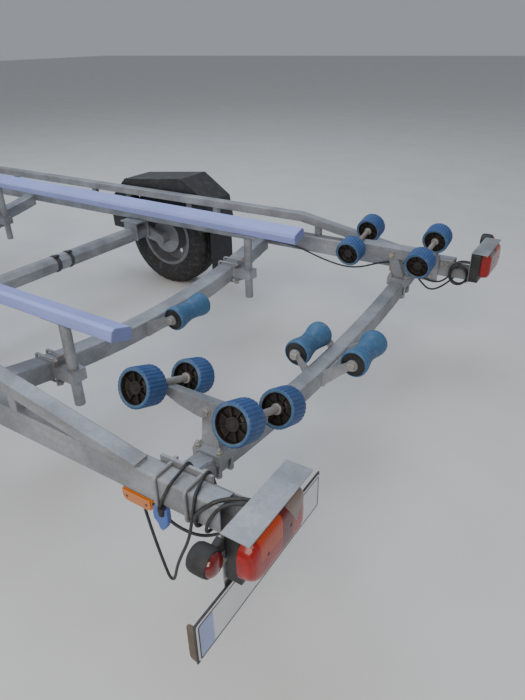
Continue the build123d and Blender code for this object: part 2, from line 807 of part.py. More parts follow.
base_rear_x = hood_front_x - hood_sheet - lamp_base_depth
with BuildPart() as lamp_bases:
    for side in (1, -1):
        block(
            base_rear_x, hood_front_x - hood_sheet, side * (hood_inner_y + 6), side * (hood_outer_y - 6),
            hood_top - hood_height + 4, hood_top - hood_sheet - 4,
        )
save(lamp_bases, "lamp_bases")

with BuildPart() as lamp_lenses:
    for side in (1, -1):
        with BuildSketch(Plane.YZ.offset(fx(base_rear_x))):
            with Locations((side * (hood_inner_y + hood_outer_y) / 2, hood_top - hood_height / 2 - 4)):
                RectangleRounded(hood_outer_y - hood_inner_y - 8, lens_height, lens_corner)
        extrude(amount=lens_rear_x - base_rear_x, taper=14)
save(lamp_lenses, "lamp_lenses")

with BuildPart() as marker_lamps:
    for side in (1, -1):
        rod(marker_x, side * marker_y, marker_z, marker_radius, marker_length, "x")
        block(marker_x - 10, marker_x + 10, side * hood_outer_y, side * marker_y, marker_z - 12, marker_z + 12)
save(marker_lamps, "marker_lamps")

with BuildPart() as side_markers:
    for side in (1, -1):
        block(
            side_marker_x, side_marker_x + side_marker_length, side * (rail_outer_y - 14), side * rail_outer_y,
            rail_bottom - side_marker_height, rail_bottom,
        )
save(side_markers, "side_markers")

with BuildPart() as plate_board:
    front = plate_x + board_thickness
    block(
        plate_x, front, plate_inner_y - board_margin, plate_inner_y + plate_width + board_margin,
        plate_top - plate_height - board_margin, plate_top + board_margin,
    )
    for strap_y in (hood_inner_y + 40, hood_outer_y - 50):
        block(front, front + 4, strap_y - 12, strap_y + 12, plate_top - 30, hood_top - hood_height + 24)
        block(
            hood_front_x, front + 4, strap_y - 12, strap_y + 12,
            hood_top - hood_height + 20, hood_top - hood_height + 24,
        )
save(plate_board, "plate_board")

with BuildPart() as number_plate:
    block(plate_x - 2, plate_x, plate_inner_y, plate_inner_y + plate_width, plate_top - plate_height, plate_top)
save(number_plate, "number_plate")

# Coupling: overrun housing, bellows over the draw shaft, ball head with its handle
with BuildPart() as coupling_housing:
    block(drawbar_front_x, drawbar_front_x + housing_length, -52, 52, shaft_z - 52, shaft_z + 52)
    for side in (1, -1):
        block(drawbar_front_x - 110, drawbar_front_x, side * half_bar, side * (half_bar + 8), rail_bottom + 8, rail_top - 8)
        block(drawbar_front_x - 8, drawbar_front_x, side * half_bar, side * 52, rail_bottom + 8, rail_top - 8)
save(coupling_housing, "coupling_housing")

with BuildPart() as coupling_head:
    rod((housing_front_x + ball_x) / 2, 0, shaft_z, shaft_bar_radius, ball_x - housing_front_x, "x")
    rod(ball_x, 0, (head_bottom + head_top) / 2, head_radius, head_top - head_bottom)
    block(ball_x - 120, ball_x, -28, 28, shaft_z - 28, shaft_z + 28)
    rod(ball_x, 0, (head_bottom + ball_z) / 2, ball_radius + running_gap, ball_z - head_bottom, mode=Mode.SUBTRACT)
    with Locations((fx(ball_x), 0, ball_z)):
        Sphere(ball_radius + running_gap, mode=Mode.SUBTRACT)
    block(ball_x - 110, ball_x - 20, -13, 13, head_top, head_top + 12)
    block(ball_x - 120, ball_x - 20, -13, 13, head_top + 12, head_top + 26)
save(coupling_head, "coupling_head")

with BuildPart() as coupling_bellows:
    fold = bellows_length / bellows_folds
    bellows_plane = Plane(origin=(fx(housing_front_x), 0, shaft_z), x_dir=(1, 0, 0), z_dir=(0, -1, 0))
    crests = []
    for step in range(bellows_folds):
        crests.append((step * fold, bellows_low))
        crests.append(((step + 0.5) * fold, bellows_high))
    with BuildSketch(bellows_plane):
        with BuildLine():
            Polyline(
                (0, shaft_bar_radius), *crests, (bellows_folds * fold, bellows_low),
                (bellows_folds * fold, shaft_bar_radius), close=True,
            )
        make_face()
    revolve(axis=Axis((fx(housing_front_x), 0, shaft_z), (1, 0, 0)))
save(coupling_bellows, "coupling_bellows")

with BuildPart() as handbrake_lever:
    block(drawbar_front_x + 40, drawbar_front_x + 52, 52, 64, shaft_z - 10, shaft_z + 250)
    rod(drawbar_front_x + 46, 58, shaft_z + 300, 14, 110)
save(handbrake_lever, "handbrake_lever")

# Jockey wheel: outer tube in a clamp, sliding inner leg, swivelling fork and wheel
with BuildPart() as jockey_tube:
    rod(jockey_x, jockey_y, (jockey_tube_bottom + jockey_tube_top) / 2, jockey_outer_radius, jockey_tube_top - jockey_tube_bottom)
    block(jockey_x - 40, jockey_x + 40, half_bar, jockey_y, rail_bottom + 8, rail_top - 8)
    rod(
        jockey_x, jockey_y, (jockey_tube_bottom + jockey_tube_top) / 2 - 6,
        jockey_inner_radius + running_gap, jockey_tube_top - jockey_tube_bottom, mode=Mode.SUBTRACT,
    )
    rod(jockey_x, jockey_y, jockey_tube_top + 20, 7, 40)
    block(jockey_x - 7, jockey_x + 110, jockey_y - 7, jockey_y + 7, jockey_tube_top + 30, jockey_tube_top + 40)
    rod(jockey_x + 100, jockey_y, jockey_tube_top + 75, 11, 80)
save(jockey_tube, "jockey_tube")

leg_bottom = 2 * jockey_wheel_radius + 32
with BuildPart() as jockey_leg:
    rod(jockey_x, jockey_y, (leg_bottom + jockey_leg_top) / 2, jockey_inner_radius, jockey_leg_top - leg_bottom)
save(jockey_leg, "jockey_leg")

fork_x = jockey_x - jockey_trail
with BuildPart() as jockey_fork:
    fork_top = leg_bottom - 1
    block(fork_x - 30, jockey_x + 30, jockey_y - 46, jockey_y + 46, fork_top - 8, fork_top)
    for cheek in (-1, 1):
        block(
            fork_x - 22, fork_x + 22, jockey_y + cheek * 40, jockey_y + cheek * 46,
            jockey_wheel_radius - 20, fork_top - 8,
        )
    rod(fork_x, jockey_y, jockey_wheel_radius, jockey_pin_radius, 100, "y")
save(jockey_fork, "jockey_fork")

with BuildPart() as jockey_wheel:
    rod(fork_x, jockey_y, jockey_wheel_radius, jockey_wheel_radius, jockey_wheel_width, "y")
    fillet(jockey_wheel.edges().filter_by(GeomType.CIRCLE), radius=12)
    rod(fork_x, jockey_y, jockey_wheel_radius, 24, 74, "y")
    rod(fork_x, jockey_y, jockey_wheel_radius, jockey_pin_radius + running_gap, 90, "y", mode=Mode.SUBTRACT)
save(jockey_wheel, "jockey_wheel")

# Winch post with the bow stop, winch frame, drum and crank
half_post = winch_post_size / 2
with BuildPart() as winch_post:
    block(winch_x - half_post, winch_x + half_post, -half_post, half_post, rail_top, winch_post_top)
    block(winch_x - 90, winch_x + 90, -52, 52, rail_top, rail_top + 8)
    block(winch_x - 110, winch_x - half_post, -20, 20, bow_stop_z - 20, bow_stop_z + 20)
    block(winch_x - 75, winch_x + 75, -45, 45, winch_post_top, winch_post_top + 6)
save(winch_post, "winch_post")

with BuildPart() as bow_stop:
    with BuildSketch(Plane.XY.offset(bow_stop_z - 45)):
        with BuildLine():
            Polyline(
                (fx(winch_x - 110), -80), (fx(winch_x - 110), 80), (fx(winch_x - 190), 80),
                (fx(winch_x - 135), 0), (fx(winch_x - 190), -80), close=True,
            )
        make_face()
    extrude(amount=90)
save(bow_stop, "bow_stop")

winch_axis_z = winch_post_top + 6 + winch_rise
with BuildPart() as winch_frame:
    for side in (1, -1):
        with BuildSketch(Plane.XZ.offset(-side * (drum_width / 2 + 5))):
            with BuildLine():
                Polyline(
                    (fx(winch_x - 60), winch_post_top + 6), (fx(winch_x - 40), winch_axis_z + 60),
                    (fx(winch_x + 50), winch_axis_z + 40), (fx(winch_x + 60), winch_post_top + 6), close=True,
                )
            make_face()
        extrude(amount=-side * 4)
    rod(winch_x, 0, winch_axis_z, 8, drum_width + 18, "y")
save(winch_frame, "winch_frame")

with BuildPart() as winch_drum:
    rod(winch_x, 0, winch_axis_z, drum_hub_radius, drum_width, "y")
    for side in (1, -1):
        rod(winch_x, side * (drum_width / 2 - 2), winch_axis_z, drum_flange_radius, 4, "y")
    rod(winch_x, 0, winch_axis_z, 8 + running_gap, drum_width + 2, "y", mode=Mode.SUBTRACT)
save(winch_drum, "winch_drum")

crank_y = -(drum_width / 2 + 9 + 6)
crank_pin_x = winch_x + 30
crank_pin_z = winch_axis_z + 22
with BuildPart() as winch_crank:
    rod(crank_pin_x, crank_y - 6, crank_pin_z, 13, 12, "y")
    block(crank_pin_x - 13, crank_pin_x + 13, crank_y - 12, crank_y - 4, crank_pin_z - crank_reach, crank_pin_z)
    rod(crank_pin_x, crank_y - 62, crank_pin_z - crank_reach + 12, 13, 100, "y")
save(winch_crank, "winch_crank")

# Lamp cables: loops between the side markers and the lamps, held at both ends
with BuildPart() as lamp_cables:
    for side in (1, -1):
        route = [
            (fx(side_marker_x), side * (rail_outer_y - 7), rail_bottom - 20),
            (fx(side_marker_x - 20), side * (rail_outer_y - 7), rail_bottom - 20),
            (fx(150), side * (rail_outer_y - 10), rail_bottom - 60),
            (fx(90), side * (rail_outer_y - 35), rail_bottom - 90),
            (fx(20), side * (rail_outer_y - 40), rail_bottom - 40),
            (fx(-40), side * (rail_outer_y + 20), rail_bottom + 40),
            (fx(hood_front_x), side * (rail_outer_y + 20), rail_bottom + 40),
        ]
        with BuildLine() as path:
            FilletPolyline(*route, radius=14)
        with BuildSketch(path.line ^ 0):
            Circle(cable_radius)
        sweep(path=path.line)
save(lamp_cables, "lamp_cables")
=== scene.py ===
import json
import math

import bmesh
import bpy
from mathutils import Matrix, Vector


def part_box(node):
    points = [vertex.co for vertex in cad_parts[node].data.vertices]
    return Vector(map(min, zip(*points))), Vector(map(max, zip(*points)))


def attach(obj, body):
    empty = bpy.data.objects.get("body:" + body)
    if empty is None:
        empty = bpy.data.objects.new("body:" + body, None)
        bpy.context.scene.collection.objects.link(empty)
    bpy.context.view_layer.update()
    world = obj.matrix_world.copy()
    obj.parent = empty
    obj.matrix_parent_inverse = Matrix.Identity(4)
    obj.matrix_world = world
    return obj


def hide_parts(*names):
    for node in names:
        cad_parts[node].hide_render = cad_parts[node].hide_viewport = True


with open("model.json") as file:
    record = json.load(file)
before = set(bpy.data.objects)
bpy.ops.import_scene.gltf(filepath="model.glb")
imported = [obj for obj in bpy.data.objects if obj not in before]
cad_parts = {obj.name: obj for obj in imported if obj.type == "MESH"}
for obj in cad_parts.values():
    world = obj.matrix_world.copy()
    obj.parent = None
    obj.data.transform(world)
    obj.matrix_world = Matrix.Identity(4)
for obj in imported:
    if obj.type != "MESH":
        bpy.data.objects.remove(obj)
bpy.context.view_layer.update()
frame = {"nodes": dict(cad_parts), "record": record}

# Looks of the boat trailer, in metres, +X forward, +Y left, +Z up.
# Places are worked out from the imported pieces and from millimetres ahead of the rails' rear ends.

NODES = frame["nodes"]
MM = 0.001
RAIL_REAR_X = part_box("rail_lower_left")[0].x
SIDES = (("left", 1), ("right", -1))

# Camera and floor
CAMERA_BEHIND = 0.5652
CAMERA_LEFT = 1.5853
CAMERA_HEIGHT = 1.3739
CAMERA_TURN = 57.11
CAMERA_PITCH = 29.05
CAMERA_ROLL = -1.13
CAMERA_LENS = 29.13
FLOOR_COLOUR = (0.62, 0.62, 0.61)
FLOOR_REACH = 40.0


def at(x, y, z):
    """A point from millimetres: ahead of the rails' rear ends, to the left, and up."""
    return Vector((RAIL_REAR_X + x * MM, y * MM, z * MM))


def span(node):
    """Low and high corners of a node in millimetres, with x ahead of the rails' rear ends."""
    return [
        Vector(((corner.x - RAIL_REAR_X) / MM, corner.y / MM, corner.z / MM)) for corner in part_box(node)
    ]


def middle_of(node):
    """Centre of a node in the millimetres of span."""
    low, high = span(node)
    return (low + high) / 2


def show(name, data):
    """A new object in the scene."""
    made = bpy.data.objects.new(name, data)
    bpy.context.scene.collection.objects.link(made)
    return made


# Sizes that several pieces share, in millimetres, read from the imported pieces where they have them

RAIL_WIDTH = 57
RAIL_UNDER = span("rail_lower_left")[0].z
RAIL_OUTER_Y, RAIL_TOP = span("rail_lower_left")[1].yz
RAIL_INNER_Y = RAIL_OUTER_Y - RAIL_WIDTH
UPPER_UNDER = 562
STRUTS = (683, 1310, 2250, 3020)
HOOD_OUTER_Y = span("lamp_hoods")[1].y
LENS_REAR_X = span("lamp_lenses")[0].x
LENS_BASE_X = span("lamp_bases")[0].x
LENS_OUTER_Y = HOOD_OUTER_Y + 7.0
LENS_WIDTH = 212
LENS_HEIGHT = 114
LENS_LOW_Z = span("lamp_hoods")[1].z - LENS_HEIGHT - 5.0

# Node materials

EVEN = (1.0, 1.0, 1.0)
WHITE = (1.0, 1.0, 1.0)


def fill(node, **values):
    """Sets a node's inputs by name, with _ for a space."""
    for name, value in values.items():
        node.inputs[name.replace("_", " ")].default_value = value
    return node


class Graph:
    """A material's node tree with short calls for the nodes that the finishes share."""

    def __init__(self, name, colour, roughness, metallic=0.0):
        self.material = bpy.data.materials.new(name)
        self.material.use_nodes = True
        self.tree = self.material.node_tree
        self.shader = self.tree.nodes["Principled BSDF"]
        fill(self.shader, Base_Color=(*colour, 1.0), Roughness=roughness, Metallic=metallic)
        self.places = self.node("ShaderNodeTexCoord").outputs["Object"]

    def node(self, kind, **values):
        """A node of a kind, with its inputs set by name."""
        return fill(self.tree.nodes.new(kind), **values)

    def link(self, source, target):
        """Links an output to an input, or sets a number or a colour there."""
        if isinstance(source, bpy.types.NodeSocket):
            self.tree.links.new(source, target)
        else:
            target.default_value = (*source, 1.0) if isinstance(source, tuple) else source

    def stretched(self, scale):
        """Object coordinates scaled along each axis."""
        mapping = self.node("ShaderNodeMapping", Scale=scale)
        self.link(self.places, mapping.inputs["Vector"])
        return mapping.outputs["Vector"]

    def noise(self, scale, detail, stretch=EVEN):
        made = self.node("ShaderNodeTexNoise", Scale=scale, Detail=detail)
        self.link(self.stretched(stretch), made.inputs["Vector"])
        return made.outputs["Fac"]

    def cells(self, scale):
        """Random grey for each cell of a Voronoi pattern."""
        made = self.node("ShaderNodeTexVoronoi", Scale=scale)
        self.link(self.stretched(EVEN), made.inputs["Vector"])
        split = self.node("ShaderNodeSeparateColor")
        self.link(made.outputs["Color"], split.inputs["Color"])
        return split.outputs["Red"]

    def ramp(self, factor, *stops):
        """A colour ramp of (place, colour) stops."""
        made = self.node("ShaderNodeValToRGB")
        band = made.color_ramp
        while len(band.elements) < len(stops):
            band.elements.new(0.5)
        for element, (place, colour) in zip(band.elements, stops):
            element.position = place
            element.color = (*colour, 1.0)
        self.link(factor, made.inputs["Fac"])
        return made.outputs["Color"]

    def mottled(self, scale, detail, colour, *stops):
        """Shades of a colour that a noise picks, by (place, factor) stops."""
        shades = [(place, shade(colour, factor)) for place, factor in stops]
        return self.ramp(self.noise(scale, detail), *shades)

    def blend(self, factor, first, second, kind="MIX"):
        """Mixes two colours by a factor, each of them an output or a plain value."""
        made = self.node("ShaderNodeMix")
        made.data_type = "RGBA"
        made.blend_type = kind
        for place, value in ((0, factor), (6, first), (7, second)):
            self.link(value, made.inputs[place])
        return made.outputs[2]

    def span(self, factor, low, high, start=0.0, end=1.0):
        """Maps a factor from start..end to low..high."""
        made = self.node("ShaderNodeMapRange", From_Min=start, From_Max=end, To_Min=low, To_Max=high)
        self.link(factor, made.inputs["Value"])
        return made.outputs["Result"]

    def math(self, kind, first, second=0.0):
        """A Math node of a kind on outputs or numbers."""
        made = self.node("ShaderNodeMath")
        made.operation = kind
        for socket, value in zip(made.inputs, (first, second)):
            self.link(value, socket)
        return made.outputs["Value"]

    def both(self, first, second):
        return self.math("MULTIPLY", first, second)

    def within(self, factor, low, high):
        """1 where a factor lies between two numbers."""
        return self.both(self.math("GREATER_THAN", factor, low), self.math("LESS_THAN", factor, high))

    def ribs(self, scale):
        """Fine moulded ribs, side by side across the trailer."""
        made = self.node("ShaderNodeTexWave", Scale=scale)
        made.bands_direction = "Y"
        self.link(self.stretched(EVEN), made.inputs["Vector"])
        return made.outputs["Fac"]

    def colour(self, output):
        self.link(output, self.shader.inputs["Base Color"])

    def bump(self, height, strength, distance):
        made = self.node("ShaderNodeBump", Strength=strength, Distance=distance)
        self.link(height, made.inputs["Height"])
        self.link(made.outputs["Normal"], self.shader.inputs["Normal"])

    def surface(self, colour, gloss, grain):
        """Ends a finish: its colour, the noise of its roughness and the noise of its bump."""
        self.colour(colour)
        scale, detail, low, high = gloss
        self.link(self.span(self.noise(scale, detail), low, high), self.shader.inputs["Roughness"])
        scale, detail, strength, distance = grain
        self.bump(self.noise(scale, detail), strength, distance)
        return self.material


def shade(colour, factor):
    """A colour made darker or lighter."""
    return tuple(min(1.0, part * factor) for part in colour)


def dusted(colour, share, grey):
    """A colour under a share of grey dust."""
    return tuple((1.0 - share) * part + share * grey for part in colour)


def galvanised(name, colour, blotch=0.28, dirt=0.5):
    """Hot-dip zinc: pale blotches, a fine crystal pattern, drip streaks and some dirt."""
    look = Graph(name, colour, 0.5, 0.35)
    patches = look.mottled(7.0, 6.0, colour, (0.32, 1 - blotch), (0.68, 1 + blotch))
    crystals = look.ramp(look.cells(130.0), (0.0, (0.86, 0.87, 0.88)), (1.0, WHITE))
    tone = look.blend(1.0, patches, crystals, "MULTIPLY")
    drips = look.noise(9.0, 8.0, (0.25, 1.0, 3.0))
    streaks = look.ramp(drips, (0.50, WHITE), (0.74, (0.68, 0.60, 0.50)))
    dirty = look.blend(dirt, tone, look.blend(1.0, tone, streaks, "MULTIPLY"))
    return look.surface(dirty, (38.0, 5.0, 0.38, 0.62), (240.0, 6.0, 0.16, 0.0006))


def rubber(name, colour, wear, roughness=0.62, grain=300.0):
    """Moulded rubber: slight mottling, pale scuffs and a fine grain."""
    look = Graph(name, colour, roughness)
    tone = look.mottled(14.0, 5.0, colour, (0.30, 0.78), (0.72, 1.22))
    scuffs = look.ramp(look.noise(46.0, 9.0), (0.50, colour), (0.80, dusted(colour, 0.4, 0.42)))
    gloss = (60.0, 4.0, roughness - 0.12, roughness + 0.12)
    return look.surface(look.blend(wear, tone, scuffs), gloss, (grain, 5.0, 0.22, 0.0005))


def plastic(name, colour, roughness=0.42, dust=0.2):
    """Moulded plastic: nearly even colour, a fine grain and a little dust."""
    look = Graph(name, colour, roughness)
    tone = look.mottled(5.0, 4.0, colour, (0.35, 0.9), (0.70, 1.1))
    film = look.ramp(look.noise(24.0, 8.0), (0.48, colour), (0.85, dusted(colour, 0.3, 0.5)))
    gloss = (30.0, 4.0, roughness - 0.08, roughness + 0.14)
    return look.surface(look.blend(dust, tone, film), gloss, (420.0, 3.0, 0.12, 0.0003))


def lamp_lens(name, colour):
    """A coloured lamp lens: glossy, slightly clear, with fine moulded ribs behind the face."""
    look = Graph(name, colour, 0.12)
    fill(look.shader, Transmission_Weight=0.25, IOR=1.49, Coat_Weight=0.6)
    ribs = look.ribs(19.0)
    look.colour(look.ramp(ribs, (0.0, shade(colour, 0.72)), (1.0, shade(colour, 1.2))))
    look.bump(ribs, 0.3, 0.0008)
    return look.material


def lens_zones(name, side):
    """A rear lamp's lens: red, with amber, dark red and clear zones across its face."""
    look = Graph(name, (0.30, 0.010, 0.008), 0.24)
    fill(look.shader, IOR=1.42, Coat_Weight=0.2)
    split = look.node("ShaderNodeSeparateXYZ")
    look.link(look.places, split.inputs["Vector"])
    outward = look.math("MULTIPLY", split.outputs["Y"], float(side))
    along = look.span(outward, 0.0, 1.0, (LENS_OUTER_Y - LENS_WIDTH) * MM, LENS_OUTER_Y * MM)
    rise = look.span(split.outputs["Z"], 0.0, 1.0, LENS_LOW_Z * MM, (LENS_LOW_Z + LENS_HEIGHT) * MM)
    dark = look.within(along, 0.28, 0.47)
    amber = look.both(look.within(along, 0.47, 0.84), look.math("GREATER_THAN", rise, 0.50))
    off_middle = look.math("ABSOLUTE", look.math("SUBTRACT", along, 0.20))
    flank = look.math("ADD", look.math("MULTIPLY", off_middle, 3.1), 0.42)
    clear = look.both(look.math("GREATER_THAN", rise, flank), look.within(along, 0.05, 0.36))
    zones = ((dark, (0.11, 0.006, 0.006)), (amber, (0.42, 0.050, 0.008)), (clear, (0.20, 0.15, 0.13)))
    tone = look.ramp(look.noise(40.0, 3.0), (0.2, (0.25, 0.006, 0.005)), (0.8, (0.36, 0.014, 0.010)))
    for zone, tint in zones:
        tone = look.blend(zone, tone, tint)
    ribs = look.ribs(42.0)
    shaded = look.ramp(ribs, (0.0, (0.78, 0.78, 0.78)), (1.0, WHITE))
    look.colour(look.blend(1.0, tone, shaded, "MULTIPLY"))
    look.bump(ribs, 0.25, 0.0006)
    return look.material


ZINC = (0.29, 0.305, 0.33)
BUNK_BLUE = (0.30, 0.36, 0.74)
BLACK = (0.020, 0.020, 0.021)

# Finishes: kind, name, and what that kind's call takes

FINISHES = (
    (galvanised, "galvanised_steel", ZINC),
    (galvanised, "wheel_steel", shade(ZINC, 0.72), 0.2, 0.6),
    (galvanised, "bolt_zinc", (0.34, 0.33, 0.31), 0.25, 0.6),
    (rubber, "blue_rubber", (0.026, 0.080, 0.225), 0.3, 0.5),
    (rubber, "worn_blue", (0.055, 0.115, 0.20), 0.6, 0.6),
    (rubber, "keel_rubber", (0.035, 0.115, 0.23), 0.45, 0.58),
    (rubber, "black_rubber", (0.022, 0.022, 0.023), 0.12),
    (rubber, "tyre_rubber", BLACK, 0.3, 0.7),
    (rubber, "cable_rubber", BLACK, 0.15, 0.45),
    (rubber, "strap_web", (0.05, 0.05, 0.06), 0.3, 0.8, 900.0),
    (rubber, "grip", (0.018, 0.018, 0.018), 0.1, 0.5),
    (plastic, "black_plastic", BLACK),
    (plastic, "guard_plastic", (0.026, 0.026, 0.028), 0.38, 0.3),
    (plastic, "hub_plastic", (0.015, 0.012, 0.011), 0.5, 0.12),
    (plastic, "bunk_covering", BUNK_BLUE, 0.48, 0.25),
    (plastic, "bunk_end", shade(BUNK_BLUE, 0.62), 0.55, 0.35),
    (plastic, "clip_blue", (0.06, 0.13, 0.40), 0.45, 0.3),
    (plastic, "tray_brown", (0.10, 0.075, 0.05), 0.6, 0.4),
    (plastic, "plate_face", (0.62, 0.64, 0.68), 0.3, 0.15),
    (plastic, "plate_black", (0.02, 0.02, 0.022), 0.35, 0.1),
    (plastic, "plate_blue", (0.30, 0.36, 0.62), 0.35, 0.15),
    (lamp_lens, "red_lens", (0.52, 0.018, 0.012)),
    (lamp_lens, "amber_lens", (0.86, 0.25, 0.012)),
    (lamp_lens, "marker_plastic", (0.40, 0.015, 0.012)),
    (lamp_lens, "marker_red", (0.17, 0.006, 0.006)),
    (lamp_lens, "marker_clear", (0.72, 0.74, 0.76)),
    (lens_zones, "lens_zones_left", 1),
    (lens_zones, "lens_zones_right", -1),
)
LOOKS = {name: kind(name, *values) for kind, name, *values in FINISHES}
SLOT_OF = {part["node"]: part["material_slot"] for part in frame["record"]["subparts"]}


def round_edges(piece, width, segments, angle):
    """Rounds a piece's edges that are sharper than an angle."""
    made = piece.modifiers.new("round", "BEVEL")
    made.width = width * MM
    made.segments = segments
    made.limit_method = "ANGLE"
    made.angle_limit = math.radians(angle)
    return made


# Camera at the photo's angle: turned to the right from straight ahead, tipped down and rolled a little

camera_data = bpy.data.cameras.new("camera")
camera_data.lens = CAMERA_LENS
camera_data.sensor_width = 36.0
camera_data.clip_end = 200.0
camera = show("camera", camera_data)
camera.matrix_world = (
    Matrix.Translation((RAIL_REAR_X - CAMERA_BEHIND, CAMERA_LEFT, CAMERA_HEIGHT))
    @ Matrix.Rotation(math.radians(-90.0 - CAMERA_TURN), 4, "Z")
    @ Matrix.Rotation(math.radians(90.0 - CAMERA_PITCH), 4, "X")
    @ Matrix.Rotation(math.radians(CAMERA_ROLL), 4, "Z")
)
bpy.context.scene.camera = camera

# Finishes of the CAD pieces, and their soft edges: a width, and how the names of its nodes start

for node_name, node in NODES.items():
    node.data.materials.clear()
    node.data.materials.append(LOOKS[SLOT_OF[node_name]])

SOFT_EDGES = {
    0.6: ("winch_drum",),
    0.8: ("wheel_", "jockey_leg"),
    0.9: ("lamp_hoods", "winch_frame"),
    1.0: ("crossbeam_", "beam_clamps", "bunk_posts", "guard_stays"),
    1.2: ("rail_lower_", "axle_mounts", "roller_stem_", "keel_brackets", "mud_flaps", "jockey_tube"),
    1.5: ("axle_tube", "torsion_arms", "coupling_bellows", "handbrake_lever", "jockey_fork", "winch_crank"),
    2.0: ("mudguard_",),
    2.5: ("coupling_head", "winch_post"),
    3.0: ("drawbar", "coupling_housing"),
    3.5: ("rail_upper_",),
    4.0: ("lamp_bases",),
    6.0: ("bow_stop",),
}
WELD_REACH = 0.00002
for width, name_starts in SOFT_EDGES.items():
    for node_name, node in NODES.items():
        if node_name.startswith(name_starts):
            node.modifiers.new("weld", "WELD").merge_threshold = WELD_REACH
            round_edges(node, width, 2, 32.0)

# Forms of the pieces made here, in millimetres


class Shell:
    """Gathers the points and faces of one piece, each form with its finish."""

    def __init__(self, name):
        self.name = name
        self.points = []
        self.faces = []
        self.marks = []
        self.looks = []

    def add(self, form, look, place=None):
        """Adds a (points, faces) form with one finish, moved by a matrix."""
        if look not in self.looks:
            self.looks.append(look)
        points, faces = form
        start = len(self.points)
        self.points += [place @ Vector(point) if place else Vector(point) for point in points]
        self.faces += [[start + corner for corner in face] for face in faces]
        self.marks += [self.looks.index(look)] * len(faces)
        return self

    def finish(self, body, slot, replaces=(), angle=38.0, bevel=0.0):
        """Makes the object, rides it on its body and hides the nodes it stands for; its slot is not used.
        """
        mesh = bpy.data.meshes.new(self.name)
        mesh.from_pydata([at(*point) for point in self.points], [], self.faces)
        for look in self.looks:
            mesh.materials.append(LOOKS[look])
        mesh.polygons.foreach_set("material_index", self.marks)
        work = bmesh.new()
        work.from_mesh(mesh)
        bmesh.ops.remove_doubles(work, verts=work.verts, dist=0.000002)
        bmesh.ops.dissolve_degenerate(work, edges=work.edges, dist=0.000001)
        bmesh.ops.recalc_face_normals(work, faces=work.faces)
        work.to_mesh(mesh)
        work.free()
        mesh.shade_smooth()
        mesh.set_sharp_from_angle(angle=math.radians(angle))
        piece = show(self.name, mesh)
        if bevel:
            round_edges(piece, bevel, 3, 30.0).harden_normals = True
        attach(piece, body)
        if replaces:
            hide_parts(*replaces)
        return piece


def lathe(profile, steps, ripple=None, closed=False):
    """Turns (radius, along) points round the local Y axis; ripple(place, turn) takes some radius off."""
    points = []
    for turn in range(steps):
        angle = 2 * math.pi * turn / steps
        for place, (radius, along) in enumerate(profile):
            reach = radius - (ripple(place, turn) if ripple else 0.0)
            points.append((reach * math.sin(angle), along, reach * math.cos(angle)))
    count = len(profile)
    faces = []
    for turn in range(steps):
        here = turn * count
        there = (turn + 1) % steps * count
        for place in range(count if closed else count - 1):
            after = (place + 1) % count
            faces.append((here + place, here + after, there + after, there + place))
    return points, faces


def across(profile, face):
    """A lathe profile with its distances along the axis turned to one face."""
    return [(radius, face * along) for radius, along in profile]


def both_halves(half):
    """A whole lathe profile from its half, whose first point is at the middle."""
    return across(half[:0:-1], -1) + half


def cuboid(low, high):
    """A box between two corners."""
    points = [(x, y, z) for x in (low[0], high[0]) for y in (low[1], high[1]) for z in (low[2], high[2])]
    return points, [(0, 1, 3, 2), (4, 6, 7, 5), (0, 4, 5, 1), (2, 3, 7, 6), (0, 2, 6, 4), (1, 5, 7, 3)]


def stack(rings, capped=True):
    """Joins rings of equally many points into a skin, with its ends closed."""
    count = len(rings[0])
    points = [point for ring in rings for point in ring]
    faces = []
    for level in range(len(rings) - 1):
        for place in range(count):
            after = (place + 1) % count
            here = level * count
            faces.append((here + place, here + after, here + count + after, here + count + place))
    if capped:
        faces.append(tuple(range(count - 1, -1, -1)))
        faces.append(tuple(range((len(rings) - 1) * count, len(rings) * count)))
    return points, faces


def plate(outline, low, high, flat):
    """A flat sheet with a corner outline, thick along one axis from low to high."""
    return stack([[(*pair[:flat], level, *pair[flat:]) for pair in outline] for level in (low, high)])


def spoke(outline, half, face):
    """A flat spoke on one face of a wheel, from (reach, lift) corners."""
    return stack([[(wide, face * lift, reach) for reach, lift in outline] for wide in (-half, half)])


def rounded(x0, x1, z0, z1, radii, steps=7):
    """Outline of a rectangle with one corner radius, or four: low start, low end, high end, high start."""
    radii = radii if isinstance(radii, tuple) else (radii,) * 4
    middles = (
        (x0 + radii[0], z0 + radii[0]), (x1 - radii[1], z0 + radii[1]),
        (x1 - radii[2], z1 - radii[2]), (x0 + radii[3], z1 - radii[3]),
    )
    outline = []
    for (x, z), radius, begin in zip(middles, radii, (180.0, 270.0, 0.0, 90.0)):
        for step in range(steps + 1):
            angle = math.radians(begin + 90.0 * step / steps)
            outline.append((x + radius * math.cos(angle), z + radius * math.sin(angle)))
    return outline


def stand(x, y, z, toward):
    """Matrix that puts local +Y along a direction at a point."""
    turn = Vector((0.0, 1.0, 0.0)).rotation_difference(Vector(toward).normalized())
    return Matrix.Translation((x, y, z)) @ turn.to_matrix().to_4x4()


# Fasteners' profiles, in radii of their bolt

WASHER = ((0, 0), (2.1, 0), (2.2, 0.12), (2.1, 0.4), (0, 0.4))
NUT = ((0, 0.4), (1.62, 0.4), (1.85, 0.55), (1.85, 1.75), (1.6, 2.0), (0, 2.0))
HEAD = ((0, 0.4), (1.85, 0.4), (1.85, 1.45), (1.62, 1.7), (1.0, 1.72), (0, 1.66))
THREAD = [(0, 1.9)]
for ridge in range(5):
    THREAD += [(1.0, 2.0 + 0.24 * ridge), (0.88, 2.12 + 0.24 * ridge)]
THREAD += [(0.8, 3.3), (0.0, 3.3)]


